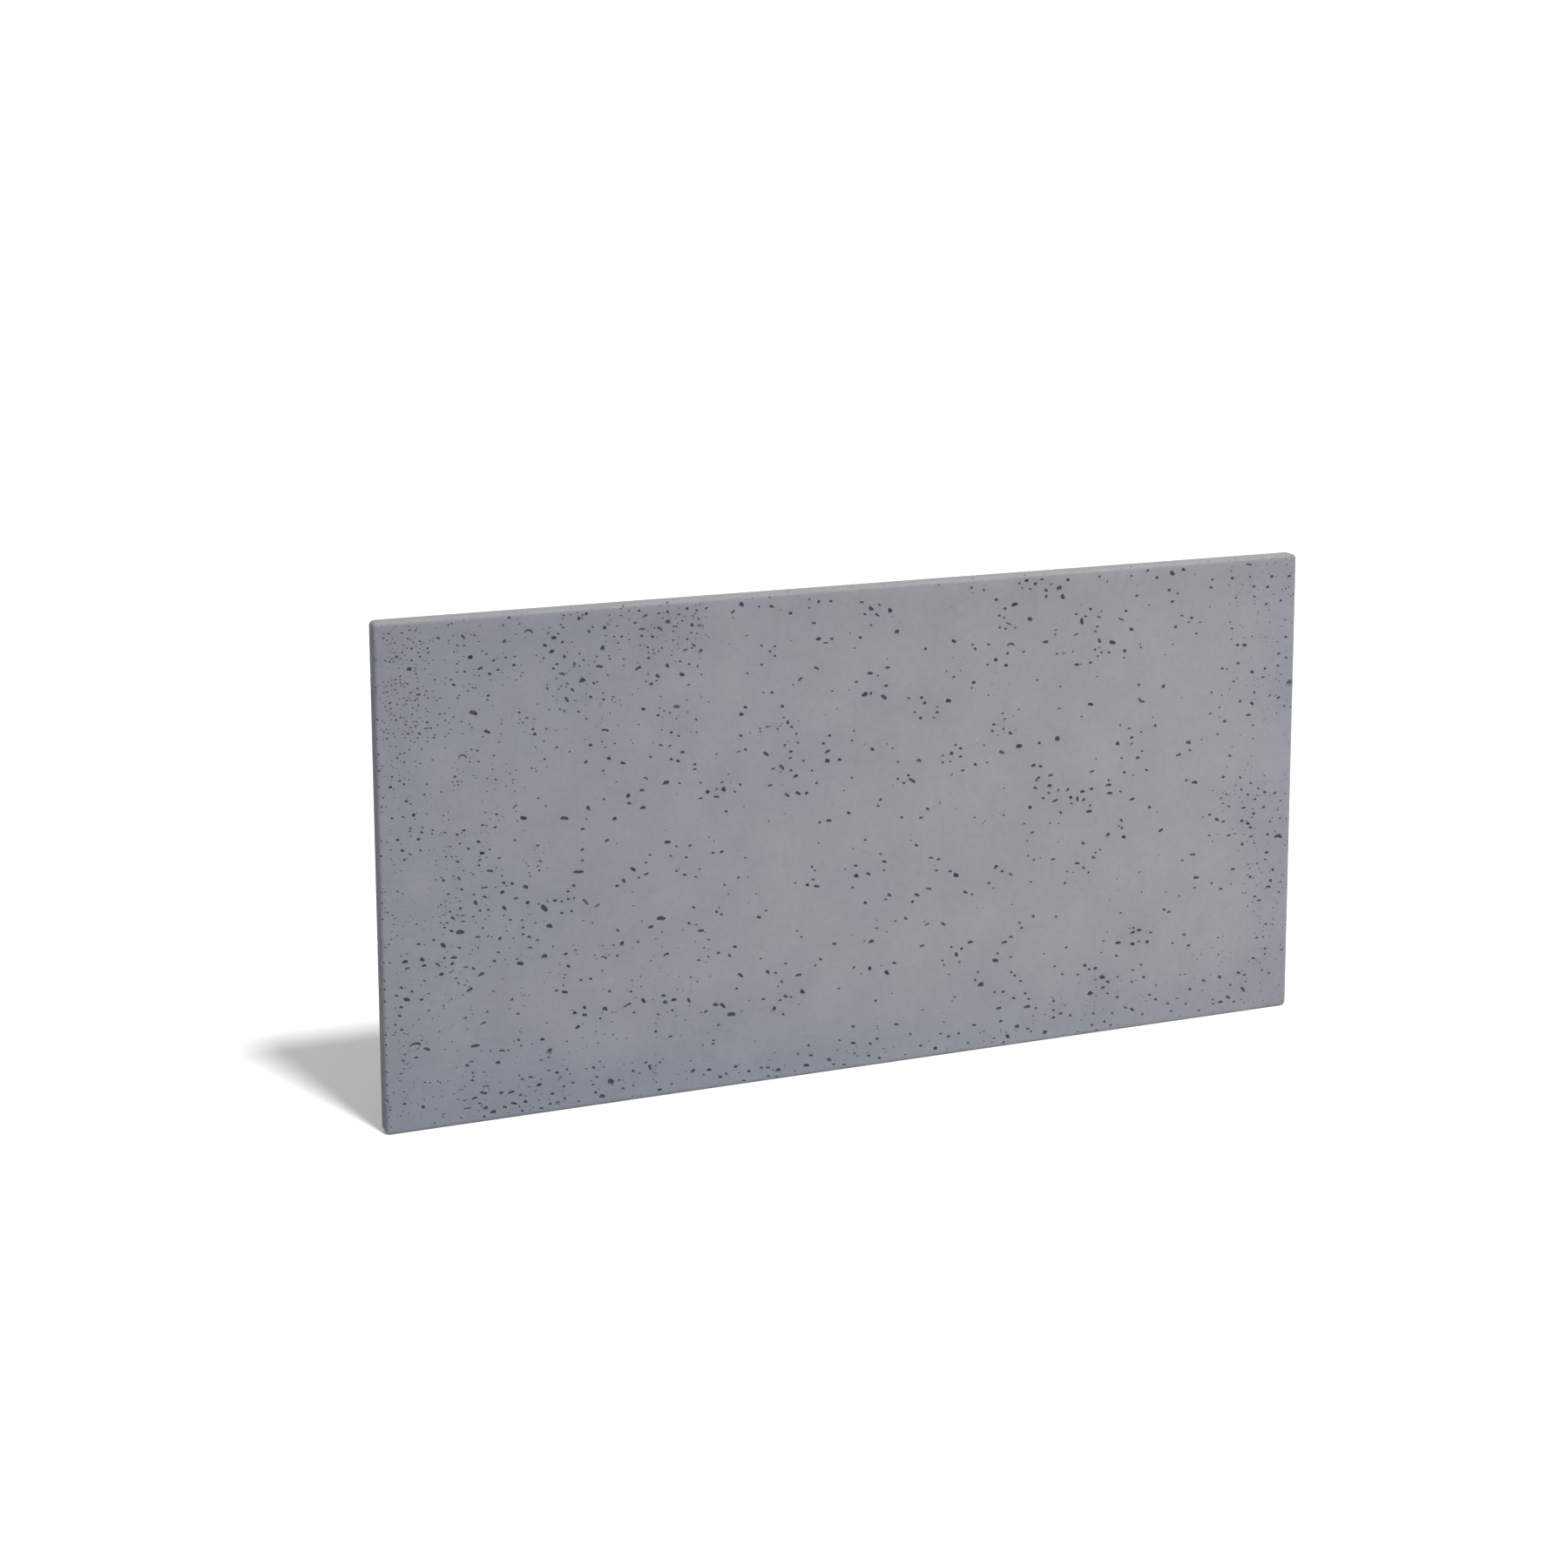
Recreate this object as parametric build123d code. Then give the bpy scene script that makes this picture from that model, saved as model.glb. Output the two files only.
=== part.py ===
from build123d import *
import os
from math import floor

# Decorative wall panel of architectural concrete, cast face down in a flat mould.
# Frame: X along the panel, Y through it with the good face towards -Y, Z up.
# The origin is under the middle of the long edge that the panel stands on.
# All sizes are in millimetres.

# Panel
panel_length = 1200.0
panel_height = 600.0
panel_thickness = 20.0
face_layer_thickness = 7.0
corner_radius = 6.0
arris_radius = 5.0

# Reinforcing mesh of alkali-resistant glass fibre, laid between the two casts
mesh_pitch = 40.0
strand_width = 3.0
strand_thickness = 0.8
mesh_edge_cover = 15.0
mesh_overhang = 10.0

# Planes across the thickness
front_y = -panel_thickness / 2
back_y = panel_thickness / 2
interface_y = front_y + face_layer_thickness


def cast_layer(near_y, far_y):
    """A flat cast between two planes, its outline rounded at the four mould corners."""
    outline = Plane.XZ.offset(-far_y) * Pos(0, panel_height / 2) * RectangleRounded(
        panel_length, panel_height, corner_radius
    )
    return extrude(outline, amount=far_y - near_y)


def strand_places(span):
    """Centred places of the strands that cross a span at the mesh pitch."""
    meshed = span - 2 * (mesh_edge_cover + mesh_overhang)
    gaps = floor(meshed / mesh_pitch + 1e-6)
    return [mesh_pitch * (i - gaps / 2) for i in range(gaps + 1)]


def lengthwise_strands():
    """Flat strands along the panel, let into the back of the face layer."""
    length = panel_length - 2 * mesh_edge_cover
    middle_y = interface_y - strand_thickness / 2
    return [
        Pos(0, middle_y, panel_height / 2 + z) * Box(length, strand_thickness, strand_width)
        for z in strand_places(panel_height)
    ]


def upright_strands():
    """Flat strands up the panel, let into the front of the backing layer."""
    length = panel_height - 2 * mesh_edge_cover
    middle_y = interface_y + strand_thickness / 2
    return [
        Pos(x, middle_y, panel_height / 2) * Box(strand_width, strand_thickness, length)
        for x in strand_places(panel_length)
    ]


def face_layer(strands):
    """The fine mix poured first: it carries the good face and its rounded arrises."""
    layer = cast_layer(front_y, interface_y)
    front_edges = layer.faces().sort_by(Axis.Y)[0].edges()
    radius = min(arris_radius, corner_radius, face_layer_thickness - strand_thickness)
    return fillet(front_edges, radius) - strands


def backing_layer(strands):
    """The fibre mix poured second, struck off flat: its back is bonded to the wall."""
    return cast_layer(interface_y, back_y) - strands


def write_node(name, solids):
    """Writes one node of one or more solids."""
    export_step(Compound(label=name, children=solids), f"parts/{name}.step")


os.makedirs("parts", exist_ok=True)
lengthwise = lengthwise_strands()
upright = upright_strands()
write_node("face_layer", face_layer(lengthwise).solids())
write_node("backing_layer", backing_layer(upright).solids())
write_node("mesh_lengthwise_strands", [strand.solid() for strand in lengthwise])
write_node("mesh_upright_strands", [strand.solid() for strand in upright])
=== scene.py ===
"""Architectural concrete wall panel: a pitted face cast, a floated backing cast and a glass-fibre mesh."""
import math
import random

import bpy
from mathutils import Matrix, Vector, noise
from mathutils.geometry import delaunay_2d_cdt


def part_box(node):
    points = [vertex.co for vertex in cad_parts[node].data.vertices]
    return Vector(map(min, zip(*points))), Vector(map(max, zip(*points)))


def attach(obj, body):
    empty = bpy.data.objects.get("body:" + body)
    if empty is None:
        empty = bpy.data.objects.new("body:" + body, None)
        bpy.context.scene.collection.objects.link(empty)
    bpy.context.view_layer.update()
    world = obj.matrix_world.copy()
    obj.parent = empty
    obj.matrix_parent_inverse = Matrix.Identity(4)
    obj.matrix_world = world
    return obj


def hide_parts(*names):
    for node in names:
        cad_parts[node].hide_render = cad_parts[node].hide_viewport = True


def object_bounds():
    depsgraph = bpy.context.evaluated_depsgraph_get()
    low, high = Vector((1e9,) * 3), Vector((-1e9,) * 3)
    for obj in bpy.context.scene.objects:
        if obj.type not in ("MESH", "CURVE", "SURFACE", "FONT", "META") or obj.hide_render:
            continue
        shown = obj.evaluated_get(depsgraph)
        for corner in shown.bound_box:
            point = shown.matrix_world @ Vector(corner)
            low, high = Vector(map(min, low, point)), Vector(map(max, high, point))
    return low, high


bl_info = {
    "name": "Architectural Concrete Panel",
    "version": (1, 0, 0),
    "blender": (4, 5, 0),
    "location": "View3D > Sidebar > Concrete Panel",
    "description": "Casts a pitted architectural concrete wall panel on a plain studio floor",
    "category": "Add Mesh",
}

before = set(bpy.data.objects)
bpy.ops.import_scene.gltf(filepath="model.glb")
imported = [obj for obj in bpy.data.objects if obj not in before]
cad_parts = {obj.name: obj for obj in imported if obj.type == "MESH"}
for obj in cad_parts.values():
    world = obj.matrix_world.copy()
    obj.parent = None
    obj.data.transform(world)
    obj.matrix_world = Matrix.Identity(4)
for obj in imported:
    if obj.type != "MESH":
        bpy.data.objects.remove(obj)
CAD_LOW, CAD_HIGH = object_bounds()
FACE_LOW, FACE_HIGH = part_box("face_layer")
BACKING_LOW, BACKING_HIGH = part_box("backing_layer")

MM = 0.001
BODY = "root"

# The panel, in millimetres. A point on its face is x from the middle and z above the lower edge.
LENGTH = (CAD_HIGH.x - CAD_LOW.x) / MM
HEIGHT = (CAD_HIGH.z - CAD_LOW.z) / MM
FACE_DEPTH = (FACE_HIGH.y - FACE_LOW.y) / MM
BACKING_DEPTH = (BACKING_HIGH.y - BACKING_LOW.y) / MM

# The hidden mesh, in millimetres.
STRAND_WIDTH = 3.0
MESH_PITCH = 40.0

# The way a side of the panel faces, along Y.
FRONTWARDS = -1
BACKWARDS = 1

# The steps round each front edge, each back edge and each corner.
FACE_EDGE_STEPS = 6
BACKING_EDGE_STEPS = 2
CORNER_STEPS = 8

# How far apart the places on a cast are, in millimetres: along its edges, and over its flat, where they
# stray by this share.
EDGE_SPACING = 6.0
FACE_SPACING = 25.0
BACKING_SPACING = 6.0
STRAY_SHARE = 0.3

# Faces that meet at more than this angle meet in a crisp edge.
CRISP_ANGLE = math.radians(32)

# The marks of the float on the struck back: narrow sweeps over broad waves, easing off towards the edges.
SWEEPS = {"length": 160.0, "height": 14.0, "layer": 3.0}
WAVES = {"length": 90.0, "height": 60.0, "layer": 8.0}
MARK_SHARE = 0.6
MARK_EASE = 10.0

# A void is a pinhole at this measure, in millimetres, and large at this much more. The measure is the width
# and a share of the length.
PINHOLE_MEASURE = 2.0
LARGE_MEASURE = 4.5
MEASURED_LENGTH = 0.3

# A void's depth lies between two shares of its width: a pinhole's, and what is added for a large void.
PINHOLE_DEPTHS = (0.35, 0.60)
ADDED_DEPTHS = (0.20, 0.25)

# How much painted shade darkens the inside, from 0 to 1, lies between two limits: a pinhole's, and a large
# void's.
PINHOLE_GLOOM = (0.25, 0.75)
LARGE_GLOOM = (0.70, 1.0)

# Towards the right end the voids take less painted shade, and so are paler: from this x, over this length, by
# this share.
PALE_END_START = 340.0
PALE_END_FADE = 140.0
PALE_END_SHARE = 0.40

# How far a rim swells in and out, in two, three and four lobes, least in the last. And how square it is, from
# 1 for an ellipse down to 0.
LOBE_ORDERS = (2, 3, 4)
SWELL = (0.03, 0.20)
SQUARENESS = 0.85

# The list gives the span of each large void. Unless it is well bent, it is made fuller at the same area: this
# much of its slenderness is kept.
SLENDER_SHARE = 0.55

# How many points the rim of a large void has, by its listed length, and where it bends by more than an angle.
LARGE_POINTS = ((6.0, 12), (9.0, 14), (math.inf, 16))
BENT_POINTS = 20
WELL_BENT = 60.0

# A listed round void is a little longer than its size. Its width is a share of its size, between these two,
# and it is tilted either way by up to this angle.
ROUND_POINTS = 10
ROUND_LENGTH = 1.08
ROUND_WIDTHS = (0.72, 1.0)
ROUND_TILT = 60.0

# A scattered void is a pinhole below this size. The power keeps most of them near their smallest size, and
# the tries are for each void that is wanted.
PINHOLE_SIZE = 2.5
PINHOLE_POINTS = 6
SCATTER_POINTS = 9
SCATTER_POWER = 1.6
SCATTER_WIDTHS = (0.65, 1.0)
SCATTER_TRIES = 12

# The sizes that a listed void is tried at, until it touches no neighbour.
LARGE_TRIES = (1.0, 0.88, 0.76)
ROUND_TRIES = (1.0, 0.85, 0.70)

# A place is fully crowded by this much void area, in square millimetres, within this reach.
CROWD_REACH = 42.0
CROWD_FULL = 200.0

# The least gap from a void to anything beside it, and to the end of the skin, in millimetres.
LEAST_GAP = 0.4
END_GAP = 0.5

# Voids in an edge are shallow, so that none meets one in the face. A wide one is a notch.
EDGE_VOID_DEPTH = 2.0
EDGE_NOTCH_DEPTH = 3.6
NOTCH_WIDTH = 8.0

# The section of a void: each ring's share of the half width, its share of the depth, and how much painted
# shade it takes.
# No ring is shorter than a share of its width.
DEEP_BOWL = ((0.95, 0.22, 0.55), (0.84, 0.60, 0.9), (0.60, 0.88, 1.0), (0.28, 1.0, 1.0))
ROUND_BOWL = ((0.94, 0.30, 0.6), (0.76, 0.76, 1.0), (0.40, 1.0, 1.0))
SHALLOW_BOWL = ((0.90, 0.40, 0.7), (0.50, 1.0, 1.0))
PINHOLE_BOWL = ((0.66, 1.0, 1.0),)
LEAST_RING = 0.6

# The unevenness of the concrete, in metres: the size of its patches, and the spacing of its specks.
DRIFT_SIZE = 0.14
CLOUD_SIZE = 0.060
MOTTLE_SIZE = 0.011
EDGE_PATCH_SIZE = 0.009
GRAIN_SIZE = 0.0016
SPECK_SPACING = 0.0045
SWEEP_SIZE = 0.012

# The same of the glass strands, with the relief of their filaments, and of the floor.
WANDER_SIZE = 0.004
FILAMENT_RELIEF = 0.00006
FLOOR_GRAIN_SIZE = 0.02

# Towards the foot and the right end, which dried last, the cement is a little bluer.
DAMP_TINT = (0.975, 1.0, 1.04, 1.0)

# What all lengths and all colours among the settings share, and what both casts share.
LENGTH_UNIT = {"unit": "LENGTH", "subtype": "DISTANCE", "precision": 4}
COLOUR = {"subtype": "COLOR", "size": 3, "min": 0.0, "max": 1.0}
# The grey of faces turned up, lighter as painted light.
TOP_LIT_GREY = (0.304, 0.306, 0.310)
CROWD_CHILL = 0.38

# The larger air voids: x, z, length, width, then tilt and bend in degrees where they aren't nought, and how
# much painted shade darkens the inside, from 0 to 1, where that isn't left to its size. A bend curls the void
# along an arc of that angle, humped upwards where it is positive.
LARGE_VOIDS = {
    "upper left": (
        (-526, 577, 4.5, 4), (-497, 576, 8, 3, -60, 40), (-420, 576, 14, 3.5, 0, 170),
        (-449, 567, 5.5, 4.5, 90), (-560, 544, 6.5, 4.5, 5), (-574, 559, 5.5, 3.5, -30),
        (-489, 552, 6.5, 5.5), (-478, 538, 9, 3, 20), (-550, 514, 5, 4),
        (-487, 487, 12, 5.5, -20, 50, 0.45), (-471, 464, 9, 4, -35), (-424, 476, 4.5, 3, -15),
        (-415, 456, 5, 4, -60), (-399, 508, 4.5, 3, 80), (-542, 474, 7, 2.5, 15, 20),
        (-501, 437, 16, 2.5, 0, 210), (-348, 437, 5, 4, 60), (-354, 417, 7, 3, 40, 40), (-326, 419, 5, 5),
        (-309, 412, 6.5, 4, -35), (-330, 453, 10, 3, -10, 70), (-401, 559, 6, 3.5, -20),
        (-393, 551, 6, 5.5), (-390, 567, 7, 4.5, 15), (-380, 561, 5, 3, 50, 30), (-360, 587, 6, 3.5, 85),
        (-348, 571, 5, 3.5, -35), (-329, 574, 5.5, 4, -50), (-332, 550, 7, 5.5, 80),
        (-378, 544, 5.5, 3.5, -50), (-366, 533, 9, 3, 80, 90), (-336, 529, 12, 3, -12),
        (-381, 524, 8.5, 3.5, -25), (-357, 514, 8, 7), (-369, 504, 6.5, 3.5, -60),
        (-376, 493, 10, 3, -55, 40), (-252, 575, 7.5, 5.5, -15), (-222, 569, 6, 4, -50),
        (-213, 568, 5, 3.5, -20), (-262, 568, 9, 3, -35, 20), (-284, 569, 9, 3), (-243, 569, 8, 2.5, -5),
        (-280, 584, 10, 2.5, 35), (-228, 589, 6, 3, -80), (-231, 540, 7, 3, 35), (-220, 545, 6, 3, -60),
        (-212, 537, 8.5, 3.5, 50), (-276, 534, 5.5, 3.5, -20), (-289, 523, 10, 3.5, 30),
        (-253, 523, 8, 3.5, -50), (-265, 512, 8, 3.5, -60), (-235, 511, 7, 5.5, 80), (-273, 503, 5, 4),
        (-242, 473, 10.5, 4, -10, 15), (-283, 474, 5, 4.5), (-262, 429, 6, 3, -45), (-235, 418, 5.5, 4),
        (-241, 408, 5.5, 4, -40),
    ),
    "upper middle": (
        (-160, 589, 7.5, 5.5, -50), (-171, 581, 7, 3, 35), (-98, 574, 5, 4.5, 90), (-122, 584, 6, 4, -40),
        (-62, 585, 5, 4.5), (-6, 581, 6, 2.5, 5), (-68, 560, 5.5, 3, -15), (-62, 540, 7, 5, 30, 40),
        (-53, 535, 8, 2.5, 5, -50), (-45, 539, 5, 4, 80), (-8, 538, 4.5, 4), (-65, 505, 9.5, 3, -25),
        (-86, 493, 8.5, 3, 50), (-118, 524, 4, 3.5, -60), (-122, 480, 4.5, 4), (-2, 467, 9, 6, -10, 30),
        (-156, 465, 5, 4.5), (-161, 457, 6, 5, 40), (-109, 462, 6, 4), (-162, 431, 5, 4, -15),
        (-102, 442, 6, 3.5, -70), (-97, 436, 5, 3.5, -30), (-165, 412, 5.5, 3, 35),
        (-130, 406, 9, 4, -45, 30), (-106, 414, 5, 3.5, 80), (-98, 406, 4.5, 4), (-48, 421, 4.5, 4),
        (-51, 401, 9, 4, 20, 30), (6, 572, 8, 5, -40), (14, 564, 7, 3, -40), (31, 568, 7.5, 5, -60),
        (40, 541, 8, 5.5, 10), (116, 524, 7.5, 4, -30), (78, 517, 4.5, 4, 80), (145, 512, 5.5, 3, -60),
        (163, 516, 5, 3), (173, 571, 5, 4), (198, 563, 8, 6.5, 20), (185, 559, 4.5, 4),
        (177, 551, 4.5, 3.5), (190, 540, 8.5, 2.5, -20), (193, 513, 13, 3, 0, 140), (173, 496, 6, 5, 90),
        (187, 488, 5.5, 4.5), (28, 498, 7.5, 3.5, 10), (5, 493, 10, 3.5, -5), (26, 476, 4.5, 4),
        (23, 462, 11, 4.5, -50, 40), (116, 479, 6, 3, 60), (143, 470, 5.5, 5), (73, 457, 4.5, 4.5),
        (77, 450, 5.5, 4.5, -50), (109, 450, 7, 6.5), (72, 432, 4.5, 4.5), (94, 437, 5, 4),
        (171, 415, 4.5, 4), (169, 407, 4.5, 3.5), (194, 402, 6, 4, -30),
    ),
    "upper right": (
        (214, 592, 5.5, 4.5), (235, 592, 6.5, 3, 15), (241, 578, 5.5, 4, 90), (241, 570, 5.5, 4, 90),
        (259, 579, 9, 5.5, 35, 30), (264, 568, 8.5, 5, -60, 20), (219, 543, 9, 5, -20, 50),
        (283, 519, 8.5, 2.5, 25), (241, 513, 9.5, 4, -8), (291, 535, 10, 5, 80), (283, 545, 5.5, 2.5, 5),
        (285, 481, 8.5, 3.5, -15), (305, 429, 8, 4.5, -12), (303, 550, 5, 3.5, -25),
        (315, 539, 5, 3.5, -30), (346, 534, 9, 2.5, -15), (361, 520, 8, 4, -50), (316, 509, 7.5, 4, -55),
        (334, 505, 9, 6.5, -35, 30), (330, 493, 4.5, 3.5), (352, 493, 5.5, 4.5), (396, 583, 5, 4.5),
        (418, 587, 7.5, 7, -60), (434, 591, 6, 4.5), (414, 566, 5, 4.5), (419, 551, 5.5, 4),
        (368, 562, 5.5, 3.5), (424, 518, 6, 4, 10), (433, 532, 5.5, 3), (447, 528, 5, 4, -15),
        (474, 565, 4.5, 4.5), (505, 575, 5, 4.5), (563, 573, 5.5, 4.5), (537, 562, 5, 3.5),
        (557, 560, 4.5, 4.5), (529, 591, 11, 2.5, -20), (589, 572, 5.5, 3.5), (525, 487, 9, 4, -25),
        (516, 464, 5.5, 4, -30), (493, 459, 5.5, 3.5), (575, 456, 5, 4), (537, 451, 7, 4, -20),
        (408, 443, 7, 4, 80), (377, 428, 12, 3.5, -35, -120), (520, 414, 6.5, 4, 10), (538, 410, 7, 4, -30),
        (593, 431, 12, 9.5, 75, 0, 0.75),
    ),
    "left": (
        (-559, 375, 4.5, 4.5), (-554, 346, 4.5, 4.5), (-573, 335, 4.5, 4), (-501, 351, 5, 3, 5),
        (-430, 358, 8, 5.5, -20, 30), (-440, 373, 8, 2.5, 40, 30), (-381, 353, 11, 5),
        (-352, 362, 8.5, 4, -60), (-320, 346, 7, 4.5, 40), (-303, 372, 7, 4.5, 90),
        (-302, 363, 6, 3.5, -50), (-480, 322, 6, 5), (-484, 336, 5, 4, 10), (-509, 315, 5.5, 3.5, -35),
        (-471, 300, 8, 4, -15), (-414, 324, 5.5, 3), (-359, 338, 6.5, 3), (-360, 313, 5.5, 3.5, 20),
        (-330, 321, 7, 3.5, 15), (-526, 295, 5.5, 3.5, -50), (-508, 295, 7, 3, -60),
        (-365, 287, 13.5, 4.5, -12), (-429, 276, 8, 5, -20), (-457, 273, 6, 4.5), (-478, 281, 9, 3, 0, -30),
        (-478, 270, 7, 3, -40), (-489, 264, 7, 4.5, 90), (-371, 271, 5.5, 4, 20),
        (-310, 270, 9, 3.5, -60, 20), (-507, 259, 5, 4, 90), (-427, 257, 5.5, 4.5),
        (-455, 254, 7.5, 4, -60), (-407, 248, 11, 6.5, -65), (-394, 256, 5, 4), (-357, 250, 13, 3, -50),
        (-343, 244, 8, 2.5, 30), (-516, 249, 6, 4, -45), (-505, 251, 7, 2, 10), (-504, 244, 7, 2, -5),
        (-386, 240, 6, 3), (-518, 234, 5, 4), (-508, 231, 10, 7.5, -10), (-401, 226, 8.5, 5.5, -20),
        (-461, 218, 5.5, 4, 80), (-557, 223, 5, 4), (-528, 218, 10, 4.5, -65), (-487, 223, 8, 3, -12),
        (-425, 203, 6, 3), (-318, 211, 5.5, 3.5, -40), (-573, 204, 8, 4.5, 10), (-553, 204, 6.5, 5.5),
        (-516, 202, 8, 4.5), (-286, 377, 6, 4), (-256, 383, 8, 6.5, -20), (-281, 391, 8, 2.5, -40),
        (-285, 356, 8.5, 4, 15), (-204, 367, 5.5, 5), (-213, 360, 6, 3), (-255, 311, 8, 5),
        (-298, 283, 8, 4.5, -40), (-282, 275, 8, 3, 25), (-232, 290, 6, 3), (-264, 219, 13, 5.5),
        (-277, 210, 6.5, 5), (-234, 269, 5.5, 3.5),
    ),
    "middle": (
        (-193, 360, 8, 3, -8), (-184, 368, 9, 4.5, -65), (-125, 367, 6.5, 3), (-110, 388, 10, 4, -60, 20),
        (-92, 375, 7, 4.5, 30), (-103, 353, 10, 3, -50), (-89, 354, 10, 3.5, -28), (-78, 353, 4.5, 4.5),
        (-51, 390, 8.5, 5, -30), (-35, 390, 5.5, 4.5, 40), (-181, 341, 4.5, 3.5), (-49, 316, 9.5, 3.5, -12),
        (-61, 315, 4.5, 4), (-23, 323, 5.5, 4, -20), (-187, 292, 5.5, 3.5), (-77, 239, 5, 4.5),
        (-70, 245, 5, 3), (-65, 236, 7, 4.5, -10), (-14, 256, 5, 4), (-13, 243, 8, 4.5, -15),
        (-140, 206, 5.5, 4.5), (-188, 215, 4.5, 4), (8, 399, 5.5, 5), (70, 379, 7.5, 4.5),
        (126, 389, 5, 3.5, -20), (114, 384, 6, 4, -50), (146, 367, 4.5, 4.5), (129, 361, 5, 3.5, 10),
        (182, 379, 9.5, 4, -20), (61, 355, 14, 3.5, -30), (50, 353, 5, 3.5), (47, 310, 4.5, 4),
        (82, 317, 5, 4.5), (73, 307, 6, 3.5), (67, 273, 6, 3, -25), (24, 257, 8, 3, -20, 40),
        (87, 255, 6, 3.5), (97, 252, 5.5, 3.5, -20), (3, 244, 9, 3, -35), (113, 235, 5.5, 3.5, -15),
        (121, 229, 8.5, 6, -30), (176, 233, 8, 4, 60, 120), (184, 227, 5, 4), (196, 222, 7, 3, -40),
        (31, 214, 7, 4, -40), (84, 216, 9, 3, -10), (68, 210, 7.5, 4.5, -30), (134, 206, 7, 3.5, -25),
        (166, 214, 4, 4),
    ),
    "right": (
        (206, 384, 10, 6, 0, 30), (259, 389, 8, 6.5, -50), (234, 386, 4.5, 4), (226, 358, 7.5, 4, 10),
        (236, 356, 6, 4, -20), (232, 340, 9, 4, 45, 30), (229, 329, 6, 3.5, -20), (250, 343, 8, 3.5, 20),
        (249, 330, 8, 4, -20), (240, 315, 6, 3, -15), (222, 305, 6, 4.5, 90), (257, 310, 9, 3.5, 25),
        (274, 322, 7, 3.5, 40), (279, 312, 6, 4, -50), (288, 309, 8, 3.5, 100), (295, 318, 6, 5),
        (297, 307, 5, 4.5), (305, 291, 10, 4.5, 0, 30), (225, 272, 7, 3, 20), (255, 235, 6, 3.5, 10),
        (289, 226, 7.5, 3.5, -15), (298, 219, 5.5, 3.5, -40), (297, 251, 5, 4.5), (344, 375, 7, 5, 90),
        (364, 381, 6, 3.5, -30), (397, 393, 7, 3.5, 45), (446, 367, 8, 5.5), (432, 352, 9, 4, 15),
        (498, 390, 5, 4.5), (533, 395, 7.5, 4), (373, 354, 7, 4, 15), (386, 337, 6, 3, -45),
        (354, 337, 6, 3.5), (308, 342, 7, 4, 0, 60), (332, 323, 10, 4, 10, -60), (334, 312, 7, 5),
        (308, 320, 6, 4), (366, 301, 8, 4, 25), (391, 288, 6, 4), (351, 275, 5.5, 4, -30),
        (332, 258, 8, 4, 50), (355, 253, 6, 5), (408, 256, 6.5, 5, 40), (312, 231, 6.5, 3.5, -30),
        (456, 314, 10, 4.5, -15), (507, 344, 4.5, 4), (498, 317, 5.5, 4, -40), (523, 314, 5.5, 3.5, -30),
        (529, 273, 7, 4, 15), (559, 271, 5, 4.5), (544, 264, 5, 4), (560, 291, 7, 3.5, -30),
        (490, 262, 7.5, 4, -40), (499, 258, 6, 3.5, 20), (527, 256, 6.5, 4, -15), (536, 252, 6, 4.5, -30),
        (540, 246, 5.5, 4.5), (508, 239, 5.5, 4), (541, 234, 6.5, 3), (566, 234, 5, 4),
        (582, 230, 13, 6, 5), (528, 225, 5, 5), (565, 210, 5.5, 5), (455, 219, 10, 3.5), (440, 213, 5.5, 3),
    ),
    "lower left": (
        (-535, 196, 9, 3, -40), (-502, 189, 7, 2.5), (-493, 186, 6, 3, -50), (-531, 184, 6.5, 4.5, 40),
        (-484, 178, 9, 4, 15), (-498, 161, 9, 4.5, 40), (-572, 159, 8, 5.5, -40),
        (-584, 165, 5.5, 3.5, -30), (-437, 185, 9, 5.5, -20, 20), (-408, 190, 9, 5.5, 65),
        (-379, 175, 5.5, 4, -50), (-335, 180, 8, 3, -30, 70), (-313, 194, 9, 4, 88),
        (-384, 144, 8, 4.5, -15), (-483, 119, 9, 3, 20), (-504, 128, 6, 3, 20), (-372, 117, 7, 4, -60),
        (-360, 122, 6, 4, -60), (-360, 113, 6, 5), (-335, 117, 8, 5.5, -65), (-307, 118, 12, 3.5, 25),
        (-369, 99, 8, 4, 30), (-563, 104, 15, 4, 0, 90), (-550, 97, 9, 4.5, -25), (-493, 93, 11, 5),
        (-461, 83, 8, 3.5), (-441, 93, 6, 3.5, -60), (-412, 90, 7, 4, -20), (-404, 74, 10, 5.5, 70),
        (-466, 69, 6.5, 5, 80), (-498, 75, 6, 2.5), (-427, 46, 6, 3.5), (-395, 47, 5, 4.5),
        (-578, 35, 4.5, 4), (-556, 28, 5, 4.5), (-417, 35, 7, 5, 40), (-484, 35, 10, 3.5, -25),
        (-481, 42, 9, 3, 0, 100), (-463, 32, 5, 4.5), (-451, 31, 9, 3.5, 15), (-495, 30, 8, 3.5, 30),
        (-504, 19, 12, 2.5), (-482, 16, 6.5, 5), (-473, 10, 8.5, 4.5, 5), (-459, 14, 6, 4, -30),
        (-448, 17, 8.5, 3.5, -10), (-434, 17, 6, 4), (-395, 9, 8, 6, 90), (-340, 10, 8, 6, 90),
        (-329, 26, 10, 8, -30), (-280, 37, 10, 3.5, 95), (-226, 25, 8.5, 4, 40), (-205, 24, 5, 5),
        (-268, 8, 6, 4), (-214, 198, 8.5, 4.5, 5), (-258, 174, 9, 3.5, 25), (-217, 162, 6, 3),
        (-287, 121, 8.5, 4, -60), (-262, 124, 6, 4), (-260, 115, 9, 4.5, 90), (-249, 117, 7, 5),
        (-230, 114, 8, 3.5, -60), (-209, 97, 6, 4, 10), (-254, 72, 7, 3),
    ),
    "lower middle": (
        (-196, 104, 9, 4, -25), (-187, 102, 11, 3.5, -55), (-176, 89, 12, 7, -15), (-171, 173, 5, 4.5),
        (-178, 163, 6, 3.5, -40), (-164, 137, 9, 4, -40), (-129, 136, 8, 4.5, 100),
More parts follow.
